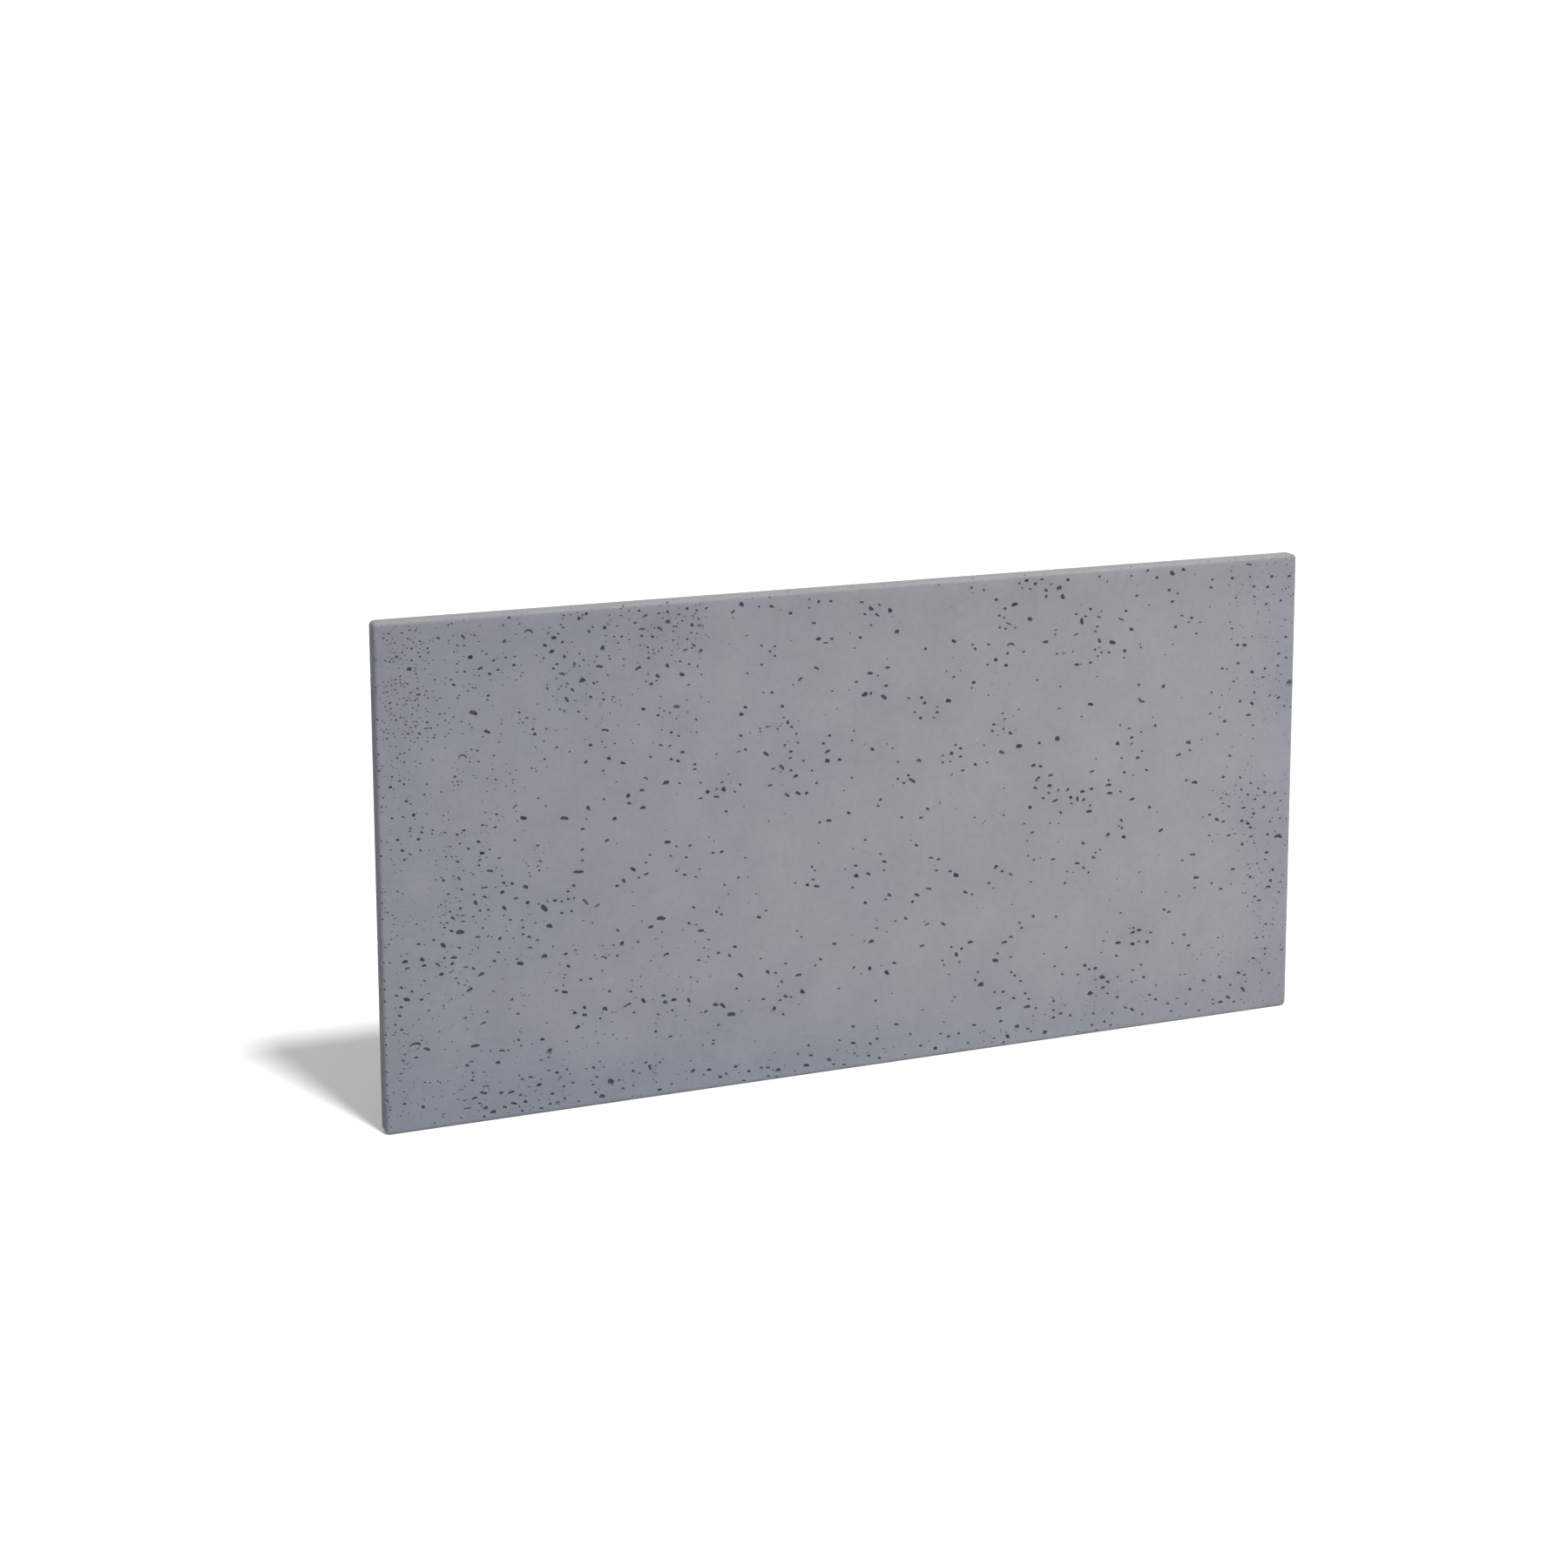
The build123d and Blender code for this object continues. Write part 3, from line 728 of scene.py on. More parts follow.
class VoidField:
    """The voids of one cast, none of which touches another, kept by square cells of the skin."""

    CELL = 30.0

    def __init__(self, skin, deepest):
        self.skin = skin
        self.deepest = deepest
        self.voids = []
        self.cells = {}

    def cells_within(self, u, v, reach):
        """The cells that lie within reach of a place."""
        columns = range(int((u - reach) // self.CELL), int((u + reach) // self.CELL) + 1)
        rows = range(int((v - reach) // self.CELL), int((v + reach) // self.CELL) + 1)
        return [(column, row) for column in columns for row in rows]

    def near(self, u, v, reach):
        """The voids in the cells within reach of a place, each of them once."""
        found = {}
        for cell in self.cells_within(u, v, reach):
            for void in self.cells.get(cell, ()):
                found[id(void)] = void
        return list(found.values())

    def most_past_flat(self, void):
        """How far past the flat the rim of a void reaches."""
        return max(self.skin.past_flat(*place)[0] for place in void.rim)

    def clashes(self, void):
        """Whether a void touches one that is there already, or runs off the end of the skin."""
        if self.most_past_flat(void) > self.skin.end - END_GAP:
            return True
        for other in self.near(void.u, void.v, void.reach + LEAST_GAP):
            distance = math.hypot(void.u - other.u, void.v - other.v)
            if distance > void.reach + other.reach + LEAST_GAP:
                continue
            if any(too_near(place, other.rim) for place in void.rim):
                return True
            if any(too_near(place, void.rim) for place in other.rim):
                return True
        return False

    def crowd(self, u, v):
        """How crowded a place is by the voids round it, from 0 to 1."""
        total = 0.0
        for void in self.near(u, v, CROWD_REACH):
            apart = math.hypot(u - void.u, v - void.v) / CROWD_REACH
            if apart < 1:
                total += void.length * void.width * (1 - apart * apart) ** 2
        return min(total / CROWD_FULL, 1.0)

    def add(self, void):
        """Takes a void in, unless it clashes with another."""
        if self.clashes(void):
            return False
        if self.most_past_flat(void) > 0:
            void.depth = min(void.depth, EDGE_NOTCH_DEPTH if void.width > NOTCH_WIDTH else EDGE_VOID_DEPTH)
        void.depth = min(void.depth, self.deepest)
        self.voids.append(void)
        for cell in self.cells_within(void.u, void.v, void.reach):
            self.cells.setdefault(cell, []).append(void)
        return True

    def add_large(self, entry, draw):
        """Adds one of the listed voids, a little smaller where it would touch its neighbour."""
        x, z, length, width = entry[:4]
        tilt = entry[4] if len(entry) > 4 else 0
        bend = entry[5] if len(entry) > 5 else 0
        gloom = entry[6] if len(entry) > 6 else None
        points = next(count for limit, count in LARGE_POINTS if length < limit)
        if abs(bend) > WELL_BENT:
            points = BENT_POINTS
        else:
            area = length * width
            ratio = 1 + (length / width - 1) * SLENDER_SHARE
            length = math.sqrt(area * ratio)
            width = math.sqrt(area / ratio)
        v = z - HEIGHT / 2
        for size in LARGE_TRIES:
            void = Void(x, v, length * size, width * size, tilt, bend, points, DEEP_BOWL, draw, gloom)
            if self.add(void):
                break

    def add_round(self, entry, draw):
        """Adds one of the listed round voids, a little smaller where it would touch its neighbour."""
        x, z, size = entry
        ratio = draw.uniform(*ROUND_WIDTHS)
        tilt = draw.uniform(-ROUND_TILT, ROUND_TILT)
        v = z - HEIGHT / 2
        for share in ROUND_TRIES:
            length = size * share * ROUND_LENGTH
            void = Void(x, v, length, size * share * ratio, tilt, 0, ROUND_POINTS, ROUND_BOWL, draw)
            if self.add(void):
                break

    def scatter(self, low_x, high_x, low_z, high_z, count, smallest, largest, draw):
        """Scatters small round voids over a rectangle, most of them near the smallest size."""
        added = 0
        tries = 0
        while added < count and tries < count * SCATTER_TRIES:
            tries += 1
            size = smallest + (largest - smallest) * draw.random() ** SCATTER_POWER
            u = draw.uniform(low_x, high_x)
            v = draw.uniform(low_z, high_z) - HEIGHT / 2
            width = size * draw.uniform(*SCATTER_WIDTHS)
            tilt = draw.uniform(-90, 90)
            if size < PINHOLE_SIZE:
                void = Void(u, v, size, width, tilt, 0, PINHOLE_POINTS, PINHOLE_BOWL, draw)
            else:
                void = Void(u, v, size, width, tilt, 0, SCATTER_POINTS, SHALLOW_BOWL, draw)
            if self.add(void):
                added += 1


class CastMesh:
    """The vertices and faces of one cast.

    Each vertex has how much painted shade it takes in a void, how crowded by voids it is, and how much it is
    lightened round the rounded edges.
    """

    def __init__(self):
        self.vertices = []
        self.shades = []
        self.crowds = []
        self.edge_lifts = []
        self.faces = []

    def vertex(self, point, shade=0.0, crowd=0.0, edge_lift=0.0):
        """Adds a vertex and gives its number."""
        self.vertices.append(point)
        self.shades.append(shade)
        self.crowds.append(crowd)
        self.edge_lifts.append(edge_lift)
        return len(self.vertices) - 1

    def face(self, corners, outward):
        """Adds a face whose corners run anticlockwise seen from the front of the panel."""
        self.faces.append(tuple(corners) if outward < 0 else tuple(reversed(corners)))


def triangles_between(places, outlines):
    """Joins places with triangles, inside the first outline and outside all the others.

    Gives the triangles' places, the triangles, and which of them each place became.
    """
    points = [Vector(place) for place in places]
    every_triangle = 0
    merge_distance = 1e-6
    found, _edges, faces, sources, _edge_sources, face_sources = delaunay_2d_cdt(
        points, [], outlines, every_triangle, merge_distance, True
    )
    if len(found) > len(places):
        raise RuntimeError(f"{len(found) - len(places)} places where outlines cross each other")
    became = {}
    for number, origins in enumerate(sources):
        for origin in origins:
            became[origin] = number
    kept = [face for face, origins in zip(faces, face_sources) if list(origins) == [0]]
    return found, kept, became


def loose_places(skin, spacing, draw):
    """Places round the edges of a skin and, shifted a little at random, over its flat."""
    places = []
    for step in range(skin.edge_steps + 1):
        places.extend(skin.outline(skin.quarter * step / skin.edge_steps))
    half_u = LENGTH / 2 - skin.corner - spacing / 2
    half_v = HEIGHT / 2 - skin.corner - spacing / 2
    for column in range(int(2 * half_u / spacing) + 1):
        for row in range(int(2 * half_v / spacing) + 1):
            shift_u = draw.uniform(-STRAY_SHARE, STRAY_SHARE) * spacing
            shift_v = draw.uniform(-STRAY_SHARE, STRAY_SHARE) * spacing
            places.append((-half_u + column * spacing + shift_u, -half_v + row * spacing + shift_v))
    return places


def cover_skin(mesh, skin, field, spacing, draw):
    """Builds the flat, the edges and every void of a skin, and gives the vertices round its end."""
    places = skin.outline(skin.end)
    outlines = [list(range(len(places)))]
    for void in field.voids:
        outlines.append(list(range(len(places), len(places) + len(void.rim))))
        places.extend(void.rim)
    for place in loose_places(skin, spacing, draw):
        if not any(too_near(place, void.rim) for void in field.near(*place, LEAST_GAP)):
            places.append(place)
    found, triangles, became = triangles_between(places, outlines)
    numbers = []
    for point in found:
        depth = skin.relief(*point)
        numbers.append(mesh.vertex(skin.place(*point, depth), 0.0, field.crowd(*point), skin.edge_lift(*point)))
    for triangle in triangles:
        mesh.face([numbers[corner] for corner in triangle], skin.outward)
    for void, outline in zip(field.voids, outlines[1:]):
        sink_void(mesh, skin, void, [numbers[became[corner]] for corner in outline])
    return [numbers[became[corner]] for corner in outlines[0]]


def sink_void(mesh, skin, void, rim):
    """Builds the bowl of one void under its rim."""
    outer = rim
    count = len(rim)
    # Each ring takes painted shade, darker deeper in the bowl, scaled by the void's gloom.
    for share, depth_share, shade in void.bowl:
        inner = [
            mesh.vertex(skin.place(u, v, void.depth * depth_share + skin.relief(u, v)), shade * void.gloom)
            for u, v in void.ring(share)
        ]
        for step in range(count):
            following = (step + 1) % count
            mesh.face((outer[step], outer[following], inner[following], inner[step]), skin.outward)
        outer = inner
    half = count // 2
    for step in range(half):
        corners = [outer[step], outer[step + 1]]
        mirrored = [outer[(count - step - 1) % count], outer[(count - step) % count]]
        corners = corners + [number for number in mirrored if number not in corners]
        if len(set(corners)) > 2:
            mesh.face(corners, skin.outward)


def close_interface(mesh, loop, plane, facing, grooves, depth):
    """Closes a cast on the side that meets the other one, with a groove for each strand.

    Each groove is x low, x high, z low and z high.
    """
    places = [(mesh.vertices[number].x / MM, mesh.vertices[number].z / MM) for number in loop]
    outlines = [list(range(len(places)))]
    for low_x, high_x, low_z, high_z in grooves:
        outlines.append(list(range(len(places), len(places) + 4)))
        places.extend([(low_x, low_z), (high_x, low_z), (high_x, high_z), (low_x, high_z)])
    found, triangles, became = triangles_between(places, outlines)
    numbers = {}
    for place, number in enumerate(loop):
        numbers[became[place]] = number
    for place in range(len(found)):
        if place not in numbers:
            numbers[place] = mesh.vertex(Vector((found[place].x * MM, plane * MM, found[place].y * MM)))
    for triangle in triangles:
        mesh.face([numbers[corner] for corner in triangle], facing)
    for outline in outlines[1:]:
        rim = [numbers[became[corner]] for corner in outline]
        floor = []
        for number in rim:
            point = mesh.vertices[number].copy()
            point.y -= facing * depth * MM
            floor.append(mesh.vertex(point))
        for step in range(4):
            following = (step + 1) % 4
            mesh.face((rim[step], rim[following], floor[following], floor[step]), facing)
        mesh.face(floor, facing)


def make_piece(name, mesh):
    """Turns a cast mesh into an object, with smooth normals and the values that its concrete reads."""
    data = bpy.data.meshes.new(name)
    used = sorted({number for face in mesh.faces for number in face})
    renumbered = {number: place for place, number in enumerate(used)}
    data.from_pydata(
        [mesh.vertices[number] for number in used],
        [],
        [tuple(renumbered[number] for number in face) for face in mesh.faces],
    )
    # The void value is painted shade inside the voids.
    for measure, values in (("void", mesh.shades), ("crowd", mesh.crowds), ("edge_lift", mesh.edge_lifts)):
        attribute = data.attributes.new(measure, "FLOAT", "POINT")
        attribute.data.foreach_set("value", [values[number] for number in used])
    data.update()
    data.shade_smooth()
    data.set_sharp_from_angle(angle=CRISP_ANGLE)
    piece = bpy.data.objects.new(name, data)
    bpy.context.scene.collection.objects.link(piece)
    return piece


def strand_grooves(node, lengthwise):
    """The grooves that the strands of one mesh node leave in the cast around them, and their depth."""
    low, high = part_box(node)
    low = low / MM
    high = high / MM
    start = low.z if lengthwise else low.x
    finish = high.z if lengthwise else high.x
    count = round((finish - start - STRAND_WIDTH) / MESH_PITCH) + 1
    grooves = []
    for number in range(count):
        side = start + number * MESH_PITCH
        if lengthwise:
            grooves.append((low.x, high.x, side, side + STRAND_WIDTH))
        else:
            grooves.append((side, side + STRAND_WIDTH, low.z, high.z))
    return grooves, high.y - low.y


class NodeSheet:
    """A material's node tree, with short calls to add and join nodes."""

    def __init__(self, name):
        self.material = bpy.data.materials.new(name)
        self.material.use_nodes = True
        self.tree = self.material.node_tree
        self.tree.nodes.clear()
        self.column = 0

    def add(self, kind, settings=None, **inputs):
        """Adds a node. Each input is a value, or the output socket that feeds it."""
        node = self.tree.nodes.new(kind)
        node.location = (self.column * 180, -(self.column % 4) * 160)
        self.column += 1
        for key, value in (settings or {}).items():
            setattr(node, key, value)
        for key, value in inputs.items():
            socket = self.socket(node, key)
            if isinstance(value, bpy.types.NodeSocket):
                self.tree.links.new(value, socket)
            else:
                socket.default_value = value
        return node

    @staticmethod
    def socket(node, key):
        """An input by its number, as in_0, or by its name, with spaces written as underscores."""
        if key.startswith("in_"):
            return node.inputs[int(key[3:])]
        return node.inputs[key.replace("_", " ")]

    def math(self, operation, first, second=0.0, clamp=False):
        """The result of one sum."""
        settings = {"operation": operation, "use_clamp": clamp}
        return self.add("ShaderNodeMath", settings, in_0=first, in_1=second).outputs[0]

    def remap(self, value, from_low, from_high, to_low, to_high, curve="SMOOTHSTEP"):
        """A value taken from one range to another, held at its ends."""
        node = self.add(
            "ShaderNodeMapRange",
            {"interpolation_type": curve},
            Value=value,
            in_1=from_low,
            in_2=from_high,
            in_3=to_low,
            in_4=to_high,
        )
        return node.outputs[0]

    def noise(self, coordinates, size, detail=2.0, roughness=0.5, distortion=0.0):
        """Soft noise whose patches are about one size across, in metres."""
        node = self.add(
            "ShaderNodeTexNoise",
            {"noise_dimensions": "3D"},
            Vector=coordinates,
            Scale=1.0 / size,
            Detail=detail,
            Roughness=roughness,
            Distortion=distortion,
        )
        return node.outputs["Fac"]

    def mix(self, share, first, second, blend="MIX"):
        """Two colours mixed by a share."""
        settings = {"data_type": "RGBA", "blend_type": blend}
        return self.add("ShaderNodeMix", settings, in_0=share, in_6=first, in_7=second).outputs[2]

    def scaled(self, colour, amount):
        """A colour made lighter or darker by a value."""
        node = self.add("ShaderNodeVectorMath", {"operation": "SCALE"}, in_0=colour, Scale=amount)
        return node.outputs[0]

    def carried(self, name):
        """One of the values that the mesh carries."""
        return self.add("ShaderNodeAttribute", {"attribute_name": name}).outputs["Fac"]

    def bump(self, height, distance, strength=1.0, normal=None):
        """A surface relief of a real depth, in metres."""
        inputs = {"Height": height, "Distance": distance, "Strength": strength}
        if normal is not None:
            inputs["Normal"] = normal
        return self.add("ShaderNodeBump", None, **inputs).outputs[0]

    def finish(self, shader):
        """Joins the surface shader to the output."""
        output = self.add("ShaderNodeOutputMaterial")
        self.tree.links.new(shader, output.inputs["Surface"])
        return self.material


def opaque(colour):
    """A colour property with its alpha."""
    return (colour[0], colour[1], colour[2], 1.0)


def concrete_base(sheet, settings, coordinates):
    """The broad change of grey over a cast, from the cool end to the warm one, darker towards its margins.
    The right end is lighter as painted light, faces turned up are lighter as painted light, faces turned left
    get painted shade, and the undersides of the edges and the foot get painted light.
    """
    end = LENGTH * MM / 2
    top = HEIGHT * MM
    parts = sheet.add("ShaderNodeSeparateXYZ", None, Vector=coordinates)
    along = parts.outputs["X"]
    upward = parts.outputs["Z"]
    geometry = sheet.add("ShaderNodeNewGeometry")
    facing = sheet.add("ShaderNodeSeparateXYZ", None, Vector=geometry.outputs["Normal"])
    facing_x = facing.outputs["X"]
    facing_z = facing.outputs["Z"]

    drift = sheet.noise(coordinates, DRIFT_SIZE, detail=3.0)
    # Painted light: the grey lightens from the left end to the right one, standing for more light on the
    # right. The drift and the crowd add changes of tone of the cement itself.
    lit_warmth = sheet.remap(along, -end - 0.02, 0.38, 0.08, 1.0, "LINEAR")
    lit_warmth = sheet.math("ADD", lit_warmth, sheet.remap(drift, 0.3, 0.7, -0.14, 0.14, "LINEAR"))
    chill = sheet.math("MULTIPLY", sheet.carried("crowd"), settings.crowd_chill)
    lit_warmth = sheet.math("SUBTRACT", lit_warmth, chill, clamp=True)
    base = sheet.mix(lit_warmth, opaque(settings.shaded_cool_grey), opaque(settings.lit_warm_grey))
    foot_damp = sheet.remap(upward, 0.0, 0.14, 1.0, 0.0)
    end_damp = sheet.remap(along, end - 0.12, end, 0.0, 0.8)
    base = sheet.mix(sheet.math("MAXIMUM", foot_damp, end_damp), base, DAMP_TINT, "MULTIPLY")

    # Lighter in uneven patches along the rounded edges, most of all halfway round them.
    edge_patches = sheet.noise(coordinates, EDGE_PATCH_SIZE, detail=3.0)
    edge_lightening = sheet.math("MULTIPLY", sheet.carried("edge_lift"), sheet.remap(edge_patches, 0.35, 0.65, 0.02, 0.14))
    shade = sheet.math("ADD", 1.0, edge_lightening)
    # A value and its range, then the shade at the two ends of the range. The first four darken the margins of
    # the cast. The next two are painted shade on faces turned to the left, as the left end face is, and
    # painted light on the undersides of its edges, and the last is painted light along its foot.
    for value, start, finish, first, last in (
        (upward, 0.0, 0.15, 0.915, 1.0),
        (upward, top - 0.10, top, 1.0, 0.955),
        (along, -end, -end + 0.07, 0.97, 1.0),
        (along, end - 0.07, end, 1.0, 0.95),
        # Painted shade on faces turned to the left.
        (facing_x, -0.95, -0.15, 0.825, 1.0),
        # Painted light on the undersides of the edges.
        (facing_z, -0.70, -0.05, 1.30, 1.0),
        # Painted light along the foot.
        (upward, 0.0, 0.018, 1.04, 1.0),
    ):
        shade = sheet.math("MULTIPLY", shade, sheet.remap(value, start, finish, first, last))

    # Painted light: faces turned up take a lighter grey, paler again towards the back and the right end, as
    # if lit from above.
    top_light_by_depth = sheet.remap(parts.outputs["Y"], -0.006, 0.009, 0.89, 1.03, "LINEAR")
    top_light_along = sheet.remap(along, -0.3, 0.5, 1.0, 1.11, "LINEAR")
    top_painted_light = sheet.scaled(settings.top_lit_grey[:], sheet.math("MULTIPLY", top_light_by_depth, top_light_along))
    upwards = sheet.remap(facing_z, 0.10, 1.0, 0.0, 1.0, "LINEAR")
    return sheet.mix(upwards, sheet.scaled(base, shade), top_painted_light)


def concrete_mottle(sheet, colour, coordinates, strength):
    """Clouds, mottling and fine grain over a grey. Gives the mottling and the grain too."""
    clouds = sheet.noise(coordinates, CLOUD_SIZE, detail=3.0, roughness=0.6)
    mottle = sheet.noise(coordinates, MOTTLE_SIZE, detail=4.0, roughness=0.62)
    grain = sheet.noise(coordinates, GRAIN_SIZE, detail=3.0, roughness=0.7)
    tone = 1.0
    for texture, low, high, change in (
        (clouds, 0.25, 0.75, 0.040 * strength),
        (mottle, 0.25, 0.75, 0.045 * strength),
        (grain, 0.2, 0.8, 0.10 * strength),
    ):
        tone = sheet.math("MULTIPLY", tone, sheet.remap(texture, low, high, 1 - change, 1 + change, "LINEAR"))
    return sheet.scaled(colour, tone), mottle, grain


def concrete_specks(sheet, colour, coordinates):
    """Sparse darker sand grains and paler lime specks."""
    cells = sheet.add(
        "ShaderNodeTexVoronoi",
        {"feature": "F1", "voronoi_dimensions": "3D"},
        Vector=coordinates,
        Scale=1.0 / SPECK_SPACING,
        Randomness=1.0,
    )
    chooser = sheet.add("ShaderNodeSeparateColor", None, Color=cells.outputs["Color"])
    spot = sheet.remap(cells.outputs["Distance"], 0.10, 0.22, 1.0, 0.0)
    dark = sheet.math("MULTIPLY", spot, sheet.math("GREATER_THAN", chooser.outputs[0], 0.90))
    pale = sheet.math("MULTIPLY", spot, sheet.math("LESS_THAN", chooser.outputs[0], 0.07))
    tone = sheet.math("SUBTRACT", 1.0, sheet.math("MULTIPLY", dark, 0.22))
    tone = sheet.math("ADD", tone, sheet.math("MULTIPLY", pale, 0.16))
    return sheet.scaled(colour, tone)


def float_sweeps(sheet, coordinates):
    """The streaks that the float left, long ones running nearly level."""
    stretched = sheet.add(
        "ShaderNodeMapping",
        {"vector_type": "POINT"},
        Vector=coordinates,
        Scale=(0.10, 1.0, 1.0),
        Rotation=(0.0, 0.12, 0.0),
    ).outputs[0]
    return sheet.noise(stretched, SWEEP_SIZE, detail=4.0, roughness=0.6, distortion=0.6)


def dull_concrete(sheet, settings, colour, mottle, relief):
    """Ends a concrete: painted shade inside its voids, an uneven dullness and its relief."""
    # Painted shade: the void value darkens the insides of the voids towards the void grey.
    colour = sheet.mix(sheet.carried("void"), colour, opaque(settings.void_shade_grey))
    roughness = sheet.remap(mottle, 0.3, 0.7, settings.roughness - 0.06, settings.roughness + 0.06, "LINEAR")
    shader = sheet.add(
        "ShaderNodeBsdfPrincipled", None, Base_Color=colour, Roughness=roughness, Normal=relief
    )
    shader.inputs["IOR"].default_value = 1.45
    shader.inputs["Specular IOR Level"].default_value = 0.25
    return sheet.finish(shader.outputs[0])


def face_concrete(settings):
    """The fine mix of the good face: cast grey, dull, with voids darkened by painted shade."""
    sheet = NodeSheet("face_concrete")
    coordinates = sheet.add("ShaderNodeTexCoord").outputs["Object"]
    base = concrete_base(sheet, settings, coordinates)
    colour, mottle, grain = concrete_mottle(sheet, base, coordinates, 1.0)
    colour = concrete_specks(sheet, colour, coordinates)
    relief = sheet.bump(grain, settings.grain_depth)
    relief = sheet.bump(mottle, settings.grain_depth * 2.0, 0.6, relief)
    return dull_concrete(sheet, settings, colour, mottle, relief)


def backing_concrete(settings):
    """The fibre mix of the back: struck and floated, with long sweeps on the wall side."""
    sheet = NodeSheet("backing_concrete")
    coordinates = sheet.add("ShaderNodeTexCoord").outputs["Object"]
    base = concrete_base(sheet, settings, coordinates)
    colour, mottle, grain = concrete_mottle(sheet, base, coordinates, 1.3)
    colour = concrete_specks(sheet, colour, coordinates)
    sweeps = float_sweeps(sheet, coordinates)
    colour = sheet.scaled(colour, sheet.remap(sweeps, 0.3, 0.7, 0.94, 1.05, "LINEAR"))
    relief = sheet.bump(grain, settings.grain_depth)
    relief = sheet.bump(sweeps, settings.grain_depth * 5.0, 0.7, relief)
    return dull_concrete(sheet, settings, colour, mottle, relief)


def glass_strand(settings, lengthwise):
    """A flat glass-fibre strand: fine twisted filaments under a clear resin coat."""
    sheet = NodeSheet("glass_strand_lengthwise" if lengthwise else "glass_strand_upright")
    coordinates = sheet.add("ShaderNodeTexCoord").outputs["Object"]
    parts = sheet.add("ShaderNodeSeparateXYZ", None, Vector=coordinates)
    along = parts.outputs["X"] if lengthwise else parts.outputs["Z"]
    across = parts.outputs["Z"] if lengthwise else parts.outputs["X"]
    twist = sheet.math("MULTIPLY", along, settings.twist / settings.filament_width)
    lay = sheet.math("ADD", sheet.math("DIVIDE", across, settings.filament_width), twist)
    filaments = sheet.math("SINE", sheet.math("MULTIPLY", lay, math.tau))
    wander = sheet.noise(coordinates, WANDER_SIZE, detail=3.0)
    tone = sheet.remap(filaments, -1.0, 1.0, 0.82, 1.0, "LINEAR")
    tone = sheet.math("MULTIPLY", tone, sheet.remap(wander, 0.3, 0.7, 0.90, 1.05, "LINEAR"))
    colour = sheet.scaled(sheet.mix(wander, opaque(settings.glass_white), opaque(settings.resin_tint)), tone)
    roughness = sheet.remap(wander, 0.3, 0.7, 0.32, 0.50, "LINEAR")
    relief = sheet.bump(filaments, FILAMENT_RELIEF)
    shader = sheet.add(
        "ShaderNodeBsdfPrincipled", None, Base_Color=colour, Roughness=roughness, Normal=relief
    )
    shader.inputs["Coat Weight"].default_value = 0.4
    shader.inputs["Coat Roughness"].default_value = 0.25
    return sheet.finish(shader.outputs[0])


def studio_floor(settings):
    """A plain matt floor, pale to the camera and a mid grey in the light that it throws back."""
    sheet = NodeSheet("studio_floor")
    ray = sheet.add("ShaderNodeLightPath")
    seen = sheet.math("MAXIMUM", ray.outputs["Is Camera Ray"], ray.outputs["Is Glossy Ray"])
    seen = sheet.math("MAXIMUM", seen, ray.outputs["Is Transmission Ray"])
    coordinates = sheet.add("ShaderNodeTexCoord").outputs["Object"]
    texture = sheet.noise(coordinates, FLOOR_GRAIN_SIZE, detail=2.0)
    bounce = sheet.scaled(tuple(settings.floor_bounce), sheet.remap(texture, 0.3, 0.7, 0.98, 1.02, "LINEAR"))
    colour = sheet.mix(seen, bounce, opaque(settings.floor_colour))
    matt = sheet.add("ShaderNodeBsdfDiffuse", None, Color=colour)
    lift = sheet.add("ShaderNodeEmission", None, Strength=sheet.math("MULTIPLY", seen, settings.floor_lift))
    both = sheet.add("ShaderNodeAddShader", None, in_0=matt.outputs[0], in_1=lift.outputs[0])
    return sheet.finish(both.outputs[0])


class FaceLayerSettings(bpy.types.PropertyGroup):
    """Sizes and greys of the face cast."""

    edge_radius: bpy.props.FloatProperty(
        name="Front edge radius", description="Rounding along the front edges of the panel",
        default=0.005, min=0.001, max=0.006, **LENGTH_UNIT,
    )
    corner_radius: bpy.props.FloatProperty(
        name="Corner radius", description="Rounding of the four corners, seen from the front",
        default=0.006, min=0.002, max=0.05, **LENGTH_UNIT,
    )
    deepest_void: bpy.props.FloatProperty(
        name="Deepest void", description="Depth that no air void goes beyond",
        default=0.0048, min=0.0005, max=0.0055, **LENGTH_UNIT,
    )
    grain_depth: bpy.props.FloatProperty(
        name="Grain depth", description="Relief of the fine sand grain", default=0.00012, **LENGTH_UNIT,
    )
    roughness: bpy.props.FloatProperty(
        name="Roughness", description="Dullness of the cast surface", default=0.80, min=0.1, max=0.94,
    )
    # Painted shade: the cool grey is also darker than the warm one, for less light at the left end.
    shaded_cool_grey: bpy.props.FloatVectorProperty(
        name="Cool grey", description="Cement colour at the left end",
        default=(0.250, 0.263, 0.300), **COLOUR,
    )
    # Painted light: the warm grey is also lighter, for more light at the right end.
    lit_warm_grey: bpy.props.FloatVectorProperty(
        name="Warm grey", description="Cement colour right of the middle",
        default=(0.323, 0.328, 0.350), **COLOUR,
    )
    # Painted shade: the insides of the voids are darkened towards this grey.
    void_shade_grey: bpy.props.FloatVectorProperty(
        name="Void grey", description="Colour of the dusty inside of the voids",
        default=(0.190, 0.206, 0.256), **COLOUR,
    )
    # Painted light: the top is lighter than the front because it faces the light from above.
    top_lit_grey: bpy.props.FloatVectorProperty(
        name="Top grey", description="Colour of the top edge, where pale dust has settled",
        default=TOP_LIT_GREY, **COLOUR,
    )
    crowd_chill: bpy.props.FloatProperty(
        name="Crowd chill", description="How much cooler the cement is round crowded voids",
        default=CROWD_CHILL, min=0.0, max=1.0,
    )
    seed: bpy.props.IntProperty(name="Seed", description="Starting number of the void scatter", default=7)


